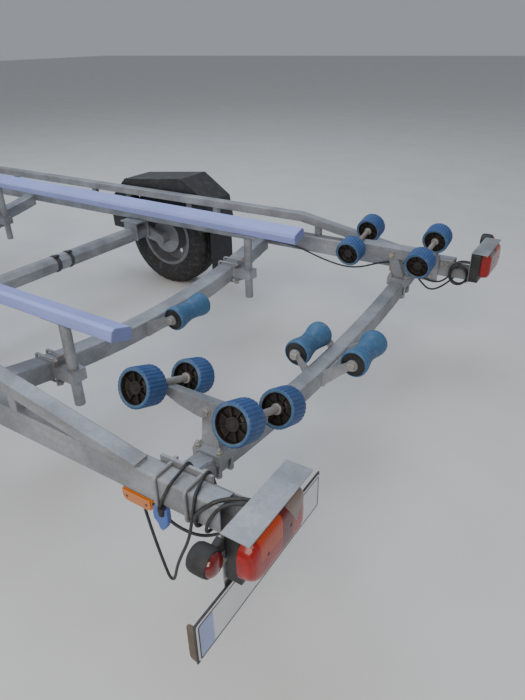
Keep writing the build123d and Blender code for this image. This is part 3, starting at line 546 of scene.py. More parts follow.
def fastener(shell, place, bolt, *forms):
    """Turned forms that stand on a face along local +Y, each a profile and its number of sides."""
    for profile, sides in forms:
        sized = [(radius * bolt, along * bolt) for radius, along in profile]
        shell.add(lathe(sized, sides), "bolt_zinc", place)


def nut(shell, place, bolt):
    """A washer, a hexagon nut and the end of its thread."""
    fastener(shell, place, bolt, (WASHER, 24), (NUT, 6), (THREAD, 16))


def bolt_head(shell, place, bolt):
    """A washer and a hexagon bolt head."""
    fastener(shell, place, bolt, (WASHER, 24), (HEAD, 6))


def bead(shell, start, end, radius):
    """A weld bead between two points, with its overlapping ripples."""
    run = Vector(end) - Vector(start)
    count = max(4, int(run.length / 5.0))
    profile = [(0.0, 0.0)]
    for ripple_at in range(count * 2 + 1):
        swell = radius * (1.0 if ripple_at % 2 else 0.78)
        profile.append((swell, run.length * (ripple_at + 0.5) / (count * 2 + 2)))
    profile.append((0.0, run.length))
    shell.add(lathe(profile, 10), "galvanised_steel", stand(*start, run))


# Cables, held at both ends; each row: name, points, radius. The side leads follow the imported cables.

SIDE_LEAD = (
    (206, 887, 400), (186, 887, 400), (150, 884, 360), (90, 859, 330), (20, 854, 380),
    (-40, 914, 460), (-86, 914, 460),
)
LOOP_LEAD = (
    (241, 884, 388), (237, 885, 362), (231, 885.5, 336), (221, 887, 297), (206, 890, 254), (191, 893, 215),
    (182, 894, 190), (174, 895, 173), (160, 896, 175), (151, 897, 200), (139, 899, 242), (119, 900, 293),
    (98, 900.5, 340), (83, 901, 386), (74, 901, 430), (66, 901, 470), (61, 900, 498), (63, 893, 507),
    (69, 876, 507), (75, 856, 509), (76, 838, 519), (73, 826, 516), (68, 823, 498), (58, 824.5, 470),
    (46, 825, 450), (20, 826, 441), (-30, 827, 446), (-86, 827, 460),
)
CLIP_LEAD = (
    (166, 900, 401), (168, 900.5, 420), (160, 900.5, 448), (146, 900.5, 475), (135, 900, 498),
    (131, 893, 508), (133, 872, 509), (135, 852, 511), (134, 838, 519.5), (133, 826, 517), (131, 819, 500),
    (118, 815, 474), (98, 815, 462), (60, 815, 458), (20, 816, 456), (-30, 818, 462), (-86, 822, 474),
)
END_LEAD = (
    (58, 866, 414), (60, 884, 413), (62, 899, 417), (63, 902, 434), (62, 902, 452), (44, 902, 478),
    (24, 901, 499), (13, 893, 509), (-2, 876, 510), (-18, 863, 509), (-40, 851, 511), (-86, 846, 516),
)
INNER_LEAD = (
    (31, 878, 413), (32, 893, 413), (33, 903, 419), (31, 904, 434), (22, 904, 460), (9, 903, 484),
    (-3, 896, 502), (-18, 884, 511), (-46, 872, 517), (-86, 866, 522),
)
FAR_END_LEAD = ((20, -860, 472), (-4, -858, 480), (-24, -850, 497), (-50, -839, 505), (-86, -834, 506))
FAR_LEAD_Y = -832.5
FAR_LEAD = [(x, FAR_LEAD_Y, z) for x, z in (
    (953, 446), (905, 446), (846, 444), (780, 436), (712, 420), (648, 402), (579, 388), (511, 381),
    (453, 387), (407, 401), (368, 418), (328, 433), (288, 444), (250, 448), (213, 447),
)]
COIL_MIDDLE = Vector((-35, 813, 448))
COIL_REACH = 37
COIL_PITCH = 9
COIL_TURNS = 3
COIL_STEPS = 14
COIL_STRETCH = 1.08


def spare_coil():
    """Route of the far rail's spare cable: back from the clamp, round in a tied coil and up to the lamp."""
    first_y = COIL_MIDDLE.y + COIL_PITCH * COIL_TURNS / 2
    route = [(152, 818, 420), (128, 820, 408), (102, 821, 398), (84, 822, 394)]
    route += [(62, 823, 394), (36, 824, 402), (12, first_y - 0.5, 424)]
    for step in range(COIL_TURNS * COIL_STEPS + 1):
        turn = 2 * math.pi * step / COIL_STEPS
        route.append((
            COIL_MIDDLE.x + COIL_REACH * math.cos(turn), first_y - COIL_PITCH * step / COIL_STEPS,
            COIL_MIDDLE.z + COIL_REACH * COIL_STRETCH * math.sin(turn),
        ))
    return route + [(2, 799, 478), (-14, 802, 502), (-46, 812, 510), (-86, 820, 508)]


def mirrored(route):
    """A cable's route on the trailer's other side."""
    return [(x, -y, z) for x, y, z in route]


CABLES = (
    ("side_lead_left", SIDE_LEAD, 4),
    ("side_lead_right", mirrored(SIDE_LEAD), 4),
    ("loop_lead", LOOP_LEAD, 4),
    ("clip_lead", CLIP_LEAD, 4),
    ("end_lead", END_LEAD, 5),
    ("inner_lead", INNER_LEAD, 4),
    ("far_end_lead", FAR_END_LEAD, 5),
    ("far_lead", FAR_LEAD, 4),
    ("spare_coil", mirrored(spare_coil()), 4),
)
for cable_name, route, radius in CABLES:
    steps = zip(route, route[1:])
    length = sum((Vector(after) - Vector(before)).length for before, after in steps) * MM
    line = bpy.data.curves.new(cable_name, "CURVE")
    line.dimensions = "3D"
    line.bevel_depth = radius * MM
    line.bevel_resolution = 5
    line.use_fill_caps = True
    spline = line.splines.new("NURBS")
    spline.points.add(len(route) - 1)
    for knot, point in zip(spline.points, route):
        knot.co = (*at(*point), 1.0)
    spline.order_u = 3
    spline.use_endpoint_u = True
    spline.resolution_u = 10
    line.materials.append(LOOKS["cable_rubber"])
    cable = show(cable_name, line)
    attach(cable, "root")
    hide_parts("lamp_cables")

# The clip under the near rail, its cable's socket, and the ties of the spare cable

clip = Shell("cable_clip")
clip_outline = [
    (148, 420), (148, 384), (157, 360), (168, 347), (177, 350), (182, 367), (193, 378), (194, 396),
    (189, 420),
]
clip.add(plate(clip_outline, RAIL_OUTER_Y - 6, RAIL_OUTER_Y + 9, 1), "clip_blue")
clip.finish("root", "black_rubber", bevel=2.5)
clip_socket = Shell("clip_socket")
socket_ring = [(4.2, -14), (9, -14), (10.5, -12), (10.5, -4), (9.4, -3), (9.4, 6), (8.2, 9), (4.2, 9)]
socket_place = stand(165, RAIL_OUTER_Y + 6, 408, (0.06, 0, -1))
clip_socket.add(lathe(socket_ring, 32, closed=True), "black_rubber", socket_place)
clip_socket.finish("root", "black_rubber")
coil_ties = Shell("coil_ties")
coil_place = Matrix.Translation((COIL_MIDDLE.x, -COIL_MIDDLE.y, COIL_MIDDLE.z))
for turn in (math.radians(80), math.radians(205)):
    reach = COIL_REACH * (1 + (COIL_STRETCH - 1) * abs(math.sin(turn)))
    tie_place = coil_place @ Matrix.Rotation(-turn, 4, "Y") @ Matrix.Translation((reach, 0, 0))
    coil_ties.add(plate(rounded(-6.5, 6.5, -19, 19, 5, 3), -3.5, 3.5, 2), "black_plastic", tie_place)
coil_ties.finish("root", "black_rubber")

# Ribbed rollers of the cradles

ROLLER_RADIUS = 55
ROLLER_HALF = 35
BOSS_HALF = 28
SPOKES = 8
GROOVE = (0, 0, 0, 0, 0.25, 1, 1, 0.25)
GROOVE_DEPTH = 2.3

# One edge of a roller's tread: how far it drops, how far in it lies, and how much of the grooves it has

TREAD_EDGE = [
    (4.5, 0, 0), (2.5, 0.6, 0.25), (1, 1.9, 0.7), (0.2, 3.9, 1), (0, 6.5, 1), (0, 17.5, 1), (0, 29, 1),
]
TREAD_PROFILE = [(ROLLER_RADIUS - drop, inset - ROLLER_HALF) for drop, inset, groove in TREAD_EDGE]
TREAD_PROFILE += across(TREAD_PROFILE[::-1], -1)
TREAD_MASK = [groove for drop, inset, groove in TREAD_EDGE]
TREAD_MASK += TREAD_MASK[::-1]
RIM_PROFILE = [(50.5, 35), (47.5, 35.2), (45.4, 35), (44.4, 34.4), (44, 33.4)]
WEB_PROFILE = [
    (44, 33.4), (43.2, 32.6), (42.8, 17), (41, 15), (24, 14), (20.5, 15), (19, 17), (18.4, 26.5),
]
CAP_PROFILE = [
    (18.4, 26.5), (17.2, 28), (13, 28), (12, 26.6), (8.5, 26.4), (7.6, 27.4), (3.4, 27.6), (0, 27),
]
MOUTH_PROFILE = [(18.4, 26.5), (17.2, 28), (11.4, 28), (10.4, 27), (10.4, -17)]
SPOKE_OUTLINE = [(18, 13.5), (43, 13.5), (43, 24), (38, 24.6), (24, 25), (18, 25.6)]


def tread_ripple(place, turn):
    """Grooves across a roller's tread, one in every eight steps round it."""
    return GROOVE_DEPTH * GROOVE[turn % len(GROOVE)] * TREAD_MASK[place]


def roller_middles(cradle_name):
    """Centres of a cradle's four rollers by end and place."""
    return {
        (end_name, place_name): middle_of(f"roller_{cradle_name}_{end_name}_{place_name}")
        for end_name in ("rear", "front") for place_name in ("inner", "outer")
    }


def lean_turn(cradle_name):
    """Turn about the trailer's length that a cradle's shafts have."""
    middles = roller_middles(cradle_name)
    rise = middles["rear", "outer"] - middles["rear", "inner"]
    return math.copysign(math.atan2(rise.z, abs(rise.y)), rise.y)


for cradle_name, side in SIDES:
    lean = Matrix.Rotation(lean_turn(cradle_name), 4, "X")
    for (end_name, place_name), middle in roller_middles(cradle_name).items():
        away = side if place_name == "outer" else -side
        node_name = f"roller_{cradle_name}_{end_name}_{place_name}"
        place = Matrix.Translation(middle) @ lean
        tread = Shell(node_name + "_tread")
        tread.add(lathe(TREAD_PROFILE, 240, tread_ripple), "blue_rubber", place)
        hub = Shell(node_name + "_hub")
        for face in (-1, 1):
            tread.add(lathe(across(RIM_PROFILE, face), 96), "worn_blue", place)
            hub.add(lathe(across(WEB_PROFILE, face), 64), "hub_plastic", place)
            for number in range(SPOKES):
                turn = Matrix.Rotation(2 * math.pi * (number + 0.5) / SPOKES, 4, "Y")
                hub.add(spoke(SPOKE_OUTLINE, 1.5, face), "hub_plastic", place @ turn)
        tread.finish(node_name, "blue_rubber", [node_name], angle=50)
        hub.add(lathe(across(CAP_PROFILE, away), 48), "hub_plastic", place)
        hub.add(lathe(across(MOUTH_PROFILE, -away), 48), "hub_plastic", place)
        hub.finish(node_name, "blue_rubber", [node_name])

# Cradles: a channel arm with a shaft at each end, rocking on its pivot bolt

SHAFT_RADIUS = 10
ARM_HALF_WIDTH = 22
ARM_SHEET = 4
ARM_TOP = -8
PIVOT_DROP = 38
PIVOT_BOLT = 7.2
ARM_REACH = 158
ARM_OUTLINE = (
    (ARM_REACH, ARM_TOP), (ARM_REACH, -25), (90, -46), (26, -PIVOT_DROP - 19),
    (-26, -PIVOT_DROP - 19), (-90, -46), (-ARM_REACH, -25), (-ARM_REACH, ARM_TOP),
)
for cradle_name, side in SIDES:
    middles = roller_middles(cradle_name)
    middle = sum(middles.values(), Vector()) / len(middles)
    place = Matrix.Translation(middle) @ Matrix.Rotation(lean_turn(cradle_name), 4, "X")
    half_run = (middles["front", "inner"].x - middles["rear", "inner"].x) / 2
    half_track = (middles["rear", "outer"] - middles["rear", "inner"]).length / 2
    arm = Shell("cradle_arm_" + cradle_name)
    for face in (-1, 1):
        wall = sorted((face * (ARM_HALF_WIDTH - ARM_SHEET), face * ARM_HALF_WIDTH))
        arm.add(plate(ARM_OUTLINE, *wall, 1), "galvanised_steel", place)
    roof_half = ARM_HALF_WIDTH - 0.1
    roof = cuboid((-ARM_REACH, -roof_half, ARM_TOP - ARM_SHEET), (ARM_REACH, roof_half, ARM_TOP + 0.1))
    arm.add(roof, "galvanised_steel", place)
    node_name = "cradle_" + cradle_name
    arm.finish(node_name, "galvanised_steel", [node_name], bevel=1.4)
    shafts = Shell("cradle_shafts_" + cradle_name)
    shaft_end = half_track + BOSS_HALF - 4
    collar_start = half_track - BOSS_HALF - 8
    collar_end = collar_start + 7
    for shaft_x in (-half_run, half_run):
        shaft_place = place @ Matrix.Translation((shaft_x, 0, 0))
        shafts.add(lathe([
            (0, -shaft_end), (SHAFT_RADIUS, 1 - shaft_end), (SHAFT_RADIUS, shaft_end - 1),
            (0, shaft_end),
        ], 40), "bolt_zinc", shaft_place)
        for face in (-1, 1):
            shafts.add(lathe(across([
                (SHAFT_RADIUS, collar_start), (14, collar_start), (15, collar_start + 1),
                (15, collar_end - 1), (14, collar_end), (SHAFT_RADIUS, collar_end),
            ], face), 40), "bolt_zinc", shaft_place)
            for edge in (-9, 9):
                start = place @ Vector((shaft_x + edge, -face * 17, ARM_TOP + 0.8))
                end = place @ Vector((shaft_x + edge, face * 17, ARM_TOP + 0.8))
                bead(shafts, start, end, 2.6)
    shafts.finish(node_name, "galvanised_steel", [node_name])
    pivot = Shell("cradle_pivot_" + cradle_name)
    for face in (-1, 1):
        turned = Matrix.Rotation(0 if face > 0 else math.pi, 4, "X")
        shift = Matrix.Translation((0, face * (ARM_HALF_WIDTH + 0.6), -PIVOT_DROP))
        (nut if face * side < 0 else bolt_head)(pivot, place @ shift @ turned, PIVOT_BOLT)
    pivot.finish("root", "galvanised_steel", angle=28)

# Bunks: plastic-covered beams with cut top corners and end caps, on their saddles

BUNK_WIDE = 85 / 2
BUNK_DEEP = 44 / 2
BUNK_REACH = 2700 / 2
BUNK_CAP = 3
BUNK_TILT = math.radians(17)
BUNK_RISE = math.radians(0.8)
BUNK_CUT = 10
BUNK_SECTION = [
    (-BUNK_WIDE, 4 - BUNK_DEEP), (1.2 - BUNK_WIDE, 1.2 - BUNK_DEEP), (4 - BUNK_WIDE, -BUNK_DEEP),
    (BUNK_WIDE - 4, -BUNK_DEEP), (BUNK_WIDE - 1.2, 1.2 - BUNK_DEEP), (BUNK_WIDE, 4 - BUNK_DEEP),
    (BUNK_WIDE, BUNK_DEEP - BUNK_CUT), (BUNK_WIDE - BUNK_CUT, BUNK_DEEP), (BUNK_CUT - BUNK_WIDE, BUNK_DEEP),
    (-BUNK_WIDE, BUNK_DEEP - BUNK_CUT),
]
BUNK_PARTS = (
    ("bunk_covering", BUNK_CAP - BUNK_REACH, BUNK_REACH - BUNK_CAP, 1, 1),
    ("bunk_end", -BUNK_REACH, BUNK_CAP - BUNK_REACH, 0.985, 0.97),
    ("bunk_end", BUNK_REACH - BUNK_CAP, BUNK_REACH, 0.985, 0.97),
)
for side_name, side in SIDES:
    turn = Matrix.Rotation(side * BUNK_TILT, 4, "X") @ Matrix.Rotation(-BUNK_RISE, 4, "Y")
    place = Matrix.Translation(middle_of("bunk_" + side_name)) @ turn
    bunk = Shell("bunk_cover_" + side_name)
    for look, x0, x1, wide, deep in BUNK_PARTS:
        bunk.add(plate([(y * wide, z * deep) for y, z in BUNK_SECTION], x0, x1, 0), look, place)
    bunk.finish("root", "bunk_covering", ["bunk_" + side_name], bevel=1.6)

# Keel rollers with their seam and black end discs

KEEL_ROLLERS = ("middle", "rear_front", "rear_back")
KEEL_HALF = [
    (35.4, 0), (35.6, 0.8), (36.7, 1.5), (37.3, 2.6), (37.6, 8), (38.9, 22), (41.4, 38), (44.6, 54),
    (47.2, 66), (48, 72), (48, 84), (47.2, 88.6), (45.2, 91.3), (42.6, 92), (41.4, 91.4),
]
KEEL_DISC = [
    (41.4, 91.4), (41, 88), (39, 87), (20, 87), (17, 88.4), (16, 91.6), (15, 92), (8.4, 92), (8.4, 70),
]
for roller_name in KEEL_ROLLERS:
    node_name = "keel_roller_" + roller_name
    place = Matrix.Translation(middle_of(node_name))
    spool = Shell(node_name + "_spool")
    spool.add(lathe(both_halves(KEEL_HALF), 96), "keel_rubber", place)
    for face in (-1, 1):
        spool.add(lathe(across(KEEL_DISC, face), 64), "black_plastic", place)
    spool.finish(node_name, "blue_rubber", [node_name], angle=45)

# Tyres with their tread, and the valves

TYRE_HALF = [
    (300, 0), (299.9, 6), (299.6, 10), (292.8, 11.5), (292.8, 17.5), (299.2, 19), (298.6, 28), (298, 36),
    (291.6, 37.5), (291.6, 43.5), (297.2, 45), (296.2, 53), (294.8, 60), (292.4, 66), (288, 71.5),
    (281, 77), (272, 82), (268, 84.6), (264.5, 84.4), (256, 88.4), (243, 91.6), (240, 92.3), (228, 92),
    (214, 89.2), (204, 85.6), (200, 85.2), (192, 80.6), (185, 76.4), (180.5, 76.2), (176, 70), (168, 62),
]
VALVE = [(0, 0), (5, 0), (4.6, 8), (3.4, 10), (3.4, 26), (4.2, 27), (4.2, 33), (0, 34)]

# How deep the cuts go at each point of the tyre's half profile, on its ribs and on its shoulder

CUT_PITCH = 6
RIB_CUTS = {5: 0.9, 6: 1, 7: 0.9}
RIB_DEPTH = 3.5
SHOULDER_CUTS = {10: 0.9, 11: 1, 12: 1, 13: 0.9, 14: 0.6}
SHOULDER_DEPTH = 5


def block_ripple(place, turn):
    """Cuts across the tread's ribs, and wider ones in its shoulder, offset by half a pitch."""
    index = abs(place - (len(TYRE_HALF) - 1))
    if index in RIB_CUTS and turn % CUT_PITCH == 0:
        return RIB_DEPTH * RIB_CUTS[index]
    if index in SHOULDER_CUTS and (turn + CUT_PITCH // 2) % CUT_PITCH < 2:
        return SHOULDER_DEPTH * SHOULDER_CUTS[index]
    return 0


for side_name, side in SIDES:
    node_name = "tyre_" + side_name
    middle = middle_of(node_name)
    tyre = Shell(node_name + "_tread")
    tyre_form = lathe(both_halves(TYRE_HALF), 216, block_ripple)
    tyre.add(tyre_form, "tyre_rubber", Matrix.Translation(middle))
    tyre.finish("wheel_" + side_name, "tyre_rubber", [node_name], angle=42)
    valve = Shell("valve_" + side_name)
    foot = middle + Vector((40, side * 6, 146))
    valve.add(lathe(VALVE, 20), "black_rubber", stand(*foot, (-0.1, side, -0.3)))
    valve.finish("wheel_" + side_name, "wheel_steel")

# Rear lamps: long lenses with rounded shoulders, and their screws

LENS_LEVELS = ((0, 0), (12, 1), (22, 3), (28, 6), (31.6, 10.5), (33.6, 16), (34.6, 25))
LENS_SCREW = [(0, -2), (4, -2), (4, 0.3), (3.3, 0.4), (1.6, 0.4), (1.2, -0.4), (0, -0.4)]
LENS_SCREWS_Y = (LENS_OUTER_Y - LENS_WIDTH + 67, LENS_OUTER_Y - 59)


def lens_ring(side, level, inset):
    """Outline of a lens at a height above its base, drawn in by an inset."""
    lens_inner_y = LENS_OUTER_Y - LENS_WIDTH
    y0, y1 = sorted((side * (lens_inner_y + inset), side * (LENS_OUTER_Y - inset)))
    limit = LENS_HEIGHT / 2 - inset - 1
    outer = min(limit, 46 - inset * 0.55)
    inner = min(limit, 20 - inset * 0.3)
    corners = (inner, outer, outer, inner) if side > 0 else (outer, inner, inner, outer)
    outline = rounded(y0, y1, LENS_LOW_Z + inset, LENS_LOW_Z + LENS_HEIGHT - inset, corners)
    return [(LENS_BASE_X - level, y, z) for y, z in outline]


for side_name, side in SIDES:
    lens = Shell("lamp_lens_" + side_name)
    lens_form = stack([lens_ring(side, level, inset) for level, inset in LENS_LEVELS])
    lens.add(lens_form, "lens_zones_" + side_name)
    lens.finish("root", "red_lens", ["lamp_lenses"], angle=30)
    screws = Shell("lamp_screws_" + side_name)
    for screw_y in LENS_SCREWS_Y:
        place = stand(LENS_REAR_X + 0.4, side * screw_y, LENS_LOW_Z + LENS_HEIGHT / 2, (-1, 0, 0))
        screws.add(lathe(LENS_SCREW, 20), "black_plastic", place)
    screws.finish("root", "black_plastic")

# Round marker lamps on their arms

MARKER_X = -85
MARKER_Y = span("marker_lamps")[1].y - 32
MARKER_Z = 545
MARKER_BODY = [
    (0, -26.5), (23, -26.5), (26.5, -24), (29.2, -18), (30, -8), (29.8, 6), (28.8, 14), (27.6, 18),
    (25.6, 19), (25.2, 16), (0, 16),
]
MARKER_REAR = [(25, 17), (24.4, 20.5), (21.5, 25.2), (16, 28.4), (9, 29.7), (0, 30)]
MARKER_FRONT = [(22, -26), (21.2, -27.6), (16, -29.2), (8, -29.9), (0, -30)]
MARKER_FORMS = ((MARKER_BODY, "black_rubber"), (MARKER_REAR, "marker_red"), (MARKER_FRONT, "marker_clear"))

# The arm's places along the trailer's width, its half heights and its half thicknesses

MARKER_ARM = (
    (HOOD_OUTER_Y - 1, 16, 9.5), (HOOD_OUTER_Y + 5, 15, 9.5), (HOOD_OUTER_Y + 12, 12.5, 9),
    (MARKER_Y - 24, 11, 8.5),
)
MARKER_BRACKET = (
    (HOOD_OUTER_Y - 1, -38), (MARKER_Y - 30, -42), (MARKER_Y - 6, -31), (MARKER_Y - 8, -28),
    (MARKER_Y - 30, -38.5), (HOOD_OUTER_Y - 1, -34),
)
for side_name, side in SIDES:
    marker = Shell("marker_lamp_" + side_name)
    place = stand(MARKER_X, side * MARKER_Y, MARKER_Z, (-1, 0, 0))
    for profile, look in MARKER_FORMS:
        marker.add(lathe(profile, 64), look, place)
    marker.add(stack([
        [(MARKER_X + dx, side * y, MARKER_Z + dz) for dx, dz in rounded(-thick, thick, -half, half, 5, 4)]
        for y, half, thick in MARKER_ARM
    ]), "black_rubber")
    bracket = [(side * y, MARKER_Z + lift) for y, lift in MARKER_BRACKET]
    marker.add(plate(bracket, MARKER_X - 13, MARKER_X + 15, 0), "bolt_zinc")
    marker.finish("root", "marker_plastic", ["marker_lamps"])

# Amber side markers with their screws and backing

AMBER_LENGTH = 97
AMBER_HEIGHT = 40
AMBER_RIM = 3
AMBER_X = span("side_markers")[0].x
AMBER_Z = RAIL_UNDER - AMBER_HEIGHT - 4
AMBER_SCREW = [(0, -3), (4.4, -3), (4.4, 0), (3.4, 0.8), (1.4, 0.8), (1, 0), (0, 0)]


def amber_outline(inset, radii):
    """Outline of a side marker, drawn in by an inset."""
    x1 = AMBER_X + AMBER_LENGTH - inset
    return rounded(AMBER_X + inset, x1, AMBER_Z + inset, AMBER_Z + AMBER_HEIGHT - inset, radii)


for side_name, side in SIDES:
    amber = Shell("side_marker_" + side_name)
    rim = amber_outline(0, (15, 18, 8, 8))
    amber.add(plate(rim, side * (RAIL_OUTER_Y - 14), side * (RAIL_OUTER_Y - 3.5), 1), "amber_lens")
    dome = amber_outline(AMBER_RIM, (13, 16, 6, 6))
    amber.add(plate(dome, side * (RAIL_OUTER_Y - 4), side * RAIL_OUTER_Y, 1), "amber_lens")
    amber.finish("root", "amber_lens", ["side_markers"], bevel=1.4)
    backing = Shell("side_marker_back_" + side_name)
    back_y = sorted((side * (RAIL_OUTER_Y - 17), side * (RAIL_OUTER_Y - 5)))
    backing.add(cuboid(
        (AMBER_X + 4, back_y[0], RAIL_UNDER - 12),
        (AMBER_X + AMBER_LENGTH - 6, back_y[1], RAIL_UNDER - 0.2),
    ), "black_rubber")
    for screw_x in (AMBER_X + 16, AMBER_X + AMBER_LENGTH - 18):
        place = stand(screw_x, side * (RAIL_OUTER_Y - 0.4), AMBER_Z + 19, (0, side, 0))
        backing.add(lathe(AMBER_SCREW, 20), "black_rubber", place)
    backing.finish("root", "amber_lens", ["side_markers"])

# Number plate: blank, with a thin black border and a pale blue end band

PLATE_LOW, PLATE_HIGH = span("number_plate")
PLATE_FACE = PLATE_LOW.x
PLATE_BOLT = [(0, 0), (5.5, 0), (5.5, 1), (4, 2.2), (0, 2.6)]
BORDER = (4, 6)
BORDER_INSIDE = (7.5, 4)


def plate_outline(inset, radius):
    """Outline of the number plate, drawn in by an inset."""
    low = PLATE_LOW + Vector((0, inset, inset))
    high = PLATE_HIGH - Vector((0, inset, inset))
    return rounded(low.y, high.y, low.z, high.z, radius)


def plate_line(size, lift):
    """Ring of points at a height over the number plate's face."""
    return [(PLATE_FACE - lift, y, z) for y, z in plate_outline(*size)]


number = Shell("number_plate_face")
number.add(plate(plate_outline(0, 8), PLATE_FACE, PLATE_HIGH.x - 0.4, 0), "plate_face")
border = [plate_line(BORDER, -0.2), plate_line(BORDER, 0.4)]
border += [plate_line(BORDER_INSIDE, 0.4), plate_line(BORDER_INSIDE, -0.2)]
number.add(stack(border, capped=False), "plate_black")
band = rounded(PLATE_HIGH.y - 52, PLATE_HIGH.y - 8.5, PLATE_LOW.z + 8.5, PLATE_HIGH.z - 8.5, 3)
number.add(plate(band, PLATE_FACE - 0.3, PLATE_FACE + 0.2, 0), "plate_blue")
for bolt_y in (PLATE_LOW.y + 176, PLATE_LOW.y + 346):
    place = stand(PLATE_FACE + 0.1, bolt_y, PLATE_HIGH.z - 22, (-1, 0, 0))
    number.add(lathe(PLATE_BOLT, 20), "plate_face", place)
number.finish("root", "plate_face", ["number_plate"])

# Tray behind the number plate, with its turned edge

tray = Shell("plate_tray")
tray_outline = rounded(
    PLATE_HIGH.x + 0.5, PLATE_HIGH.x + 22, PLATE_LOW.z - 1, PLATE_HIGH.z + 1, (1, 12, 12, 1), 5,
)
tray.add(plate(tray_outline, PLATE_HIGH.y - 1, PLATE_HIGH.y + 3, 1), "tray_brown")
tray.finish("root", "black_plastic", bevel=0.8)

# Nuts and bolt heads of the frame, each on the face that it clamps

CLAMPED_BEAMS = ("crossbeam_middle", "crossbeam_front")
STEM_FEET = ((1, 668.2), (-1, 690.2))
STEM_LEG_X = (148.8, 218.2)
STEM_LEG_REACH = 26
POST_LEGS_Y = (518, 562)
RAIL_CLAMP_X = (90, 178)
RAIL_CLAMP_Y = RAIL_INNER_Y - 8
SOCKET_BOLT_X = (22, 44)
SOCKET_BOLT_Z = 478
KEEL_BOLT_Y = 103


def rear_beam_top(y):
    """Height of the rear crossbeam's bowed top at a distance from the middle."""
    return 378 + 70 * (y / 800) ** 2


def long_beam_top(y):
    """Height of the middle and front crossbeams' bowed top at a distance from the middle."""
    return 365 + 97 * (y / RAIL_INNER_Y) ** 2


fixings = Shell("frame_bolts")
for side in (1, -1):
    for clamp_x in RAIL_CLAMP_X:
        nut(fixings, stand(clamp_x, side * RAIL_CLAMP_Y, RAIL_TOP + 5.2, (0, -side, 0)), 4.4)
    nut(fixings, stand(RAIL_CLAMP_X[0], side * RAIL_CLAMP_Y, RAIL_UNDER - 5.2, (0, -side, 0)), 5)
    for beam_name in CLAMPED_BEAMS:
        clamp_face = span(beam_name)[0].x - 12
        for leg_y in POST_LEGS_Y:
            for level in (long_beam_top(leg_y) + 11, long_beam_top(leg_y) - 81):
                nut(fixings, stand(clamp_face, side * leg_y, level, (-1, 0, 0)), 5)
for side, foot_y in STEM_FEET:
    for leg_y in (foot_y - STEM_LEG_REACH, foot_y + STEM_LEG_REACH):
        for leg_x in STEM_LEG_X:
            nut(fixings, stand(leg_x, side * leg_y, rear_beam_top(foot_y) + 14, (0, 0, 1)), 5)
for roller_name in KEEL_ROLLERS:
    middle = middle_of("keel_roller_" + roller_name)
    bolt_head(fixings, stand(middle.x, KEEL_BOLT_Y, middle.z, (0, 1, 0)), 8)
    nut(fixings, stand(middle.x, -KEEL_BOLT_Y, middle.z, (0, -1, 0)), 6.5)
for side in (1, -1):
    for bolt_x in SOCKET_BOLT_X:
        bolt_head(fixings, stand(bolt_x, side * (RAIL_INNER_Y - 5), SOCKET_BOLT_Z, (0, -side, 0)), 4.5)
fixings.finish("root", "galvanised_steel", angle=28)

# Weld beads where struts, crossbeams, mounts, the upper rails and the winch post meet the frame

UPPER_FOOT_X = 241
CHEEK_ENDS_X = (1844, 1936)
CHEEKS_Y = (782.4, 791.6, 879.4, 888.6)
CHEEK_FOOT_Z = 411.4
POST_ENDS_X = (4532, 4588)
POST_FOOT_Y = 30.6
welds = Shell("weld_beads")
for side in (1, -1):
    strut_inner = side * (RAIL_OUTER_Y - 29)
    strut_outer = side * (RAIL_OUTER_Y - 2)
    for strut_x in STRUTS:
        for edge_x in (strut_x - 15, strut_x + 15):
            for level in (RAIL_TOP + 0.8, UPPER_UNDER - 0.8):
                bead(welds, (edge_x, strut_inner, level), (edge_x, strut_outer, level), 2.6)
    for beam_name in CLAMPED_BEAMS:
        low, high = span(beam_name)
        beam_high = long_beam_top(RAIL_INNER_Y)
        weld_y = side * (RAIL_INNER_Y - 0.6)
        for edge_x in (low.x, high.x):
            bead(welds, (edge_x, weld_y, RAIL_UNDER + 4), (edge_x, weld_y, beam_high - 3), 3.2)
        bead(welds, (low.x + 4, weld_y, beam_high + 0.4), (high.x - 4, weld_y, beam_high + 0.4), 3.2)
    foot_inner = side * (RAIL_OUTER_Y - 42)
    foot_z = RAIL_TOP + 0.6
    bead(welds, (UPPER_FOOT_X, foot_inner, foot_z), (UPPER_FOOT_X, strut_outer, foot_z), 2.6)
    for cheek_y in CHEEKS_Y:
        bead(welds, *[(x, side * cheek_y, CHEEK_FOOT_Z) for x in CHEEK_ENDS_X], 3)
    bead(welds, *[(x, side * POST_FOOT_Y, RAIL_TOP + 0.8) for x in POST_ENDS_X], 2.6)
welds.finish("root", "galvanised_steel", angle=60)

# Strap bands and their buckles on the axle tube

AXLE_X = 1890
AXLE_Z = 340
EIGHTH = Matrix.Rotation(math.radians(22.5), 4, "Y")
bands = Shell("axle_straps")
for band_y, width in ((-214, 26), (-300, 22)):
    half = width / 2
    ring = [(43.6, -half), (46, 0.8 - half), (46, half - 0.8), (43.6, half)]
    place = Matrix.Translation((AXLE_X, band_y, AXLE_Z)) @ EIGHTH
    bands.add(lathe(ring, 8, closed=True), "strap_web", place)
    bands.add(cuboid(
        (AXLE_X - 30, band_y - half - 2, AXLE_Z + 41), (AXLE_X - 6, band_y + half + 2, AXLE_Z + 48),
    ), "black_plastic")
bands.finish("root", "black_rubber", bevel=0.8)

# Winch strap, gear and grips

WINCH = Matrix.Translation((4560, 0, 1126))
STRAP_LAYERS = 12
GEAR = [(9, -33.5), (40, -33.5), (42, -34.5), (52, -34.5), (52, -31.2), (9, -31.2)]


def tooth_ripple(place, turn):
    """Gaps between the gear's teeth, one in every three steps round its rim."""
    return 3.4 if place in (3, 4) and turn % 3 == 0 else 0


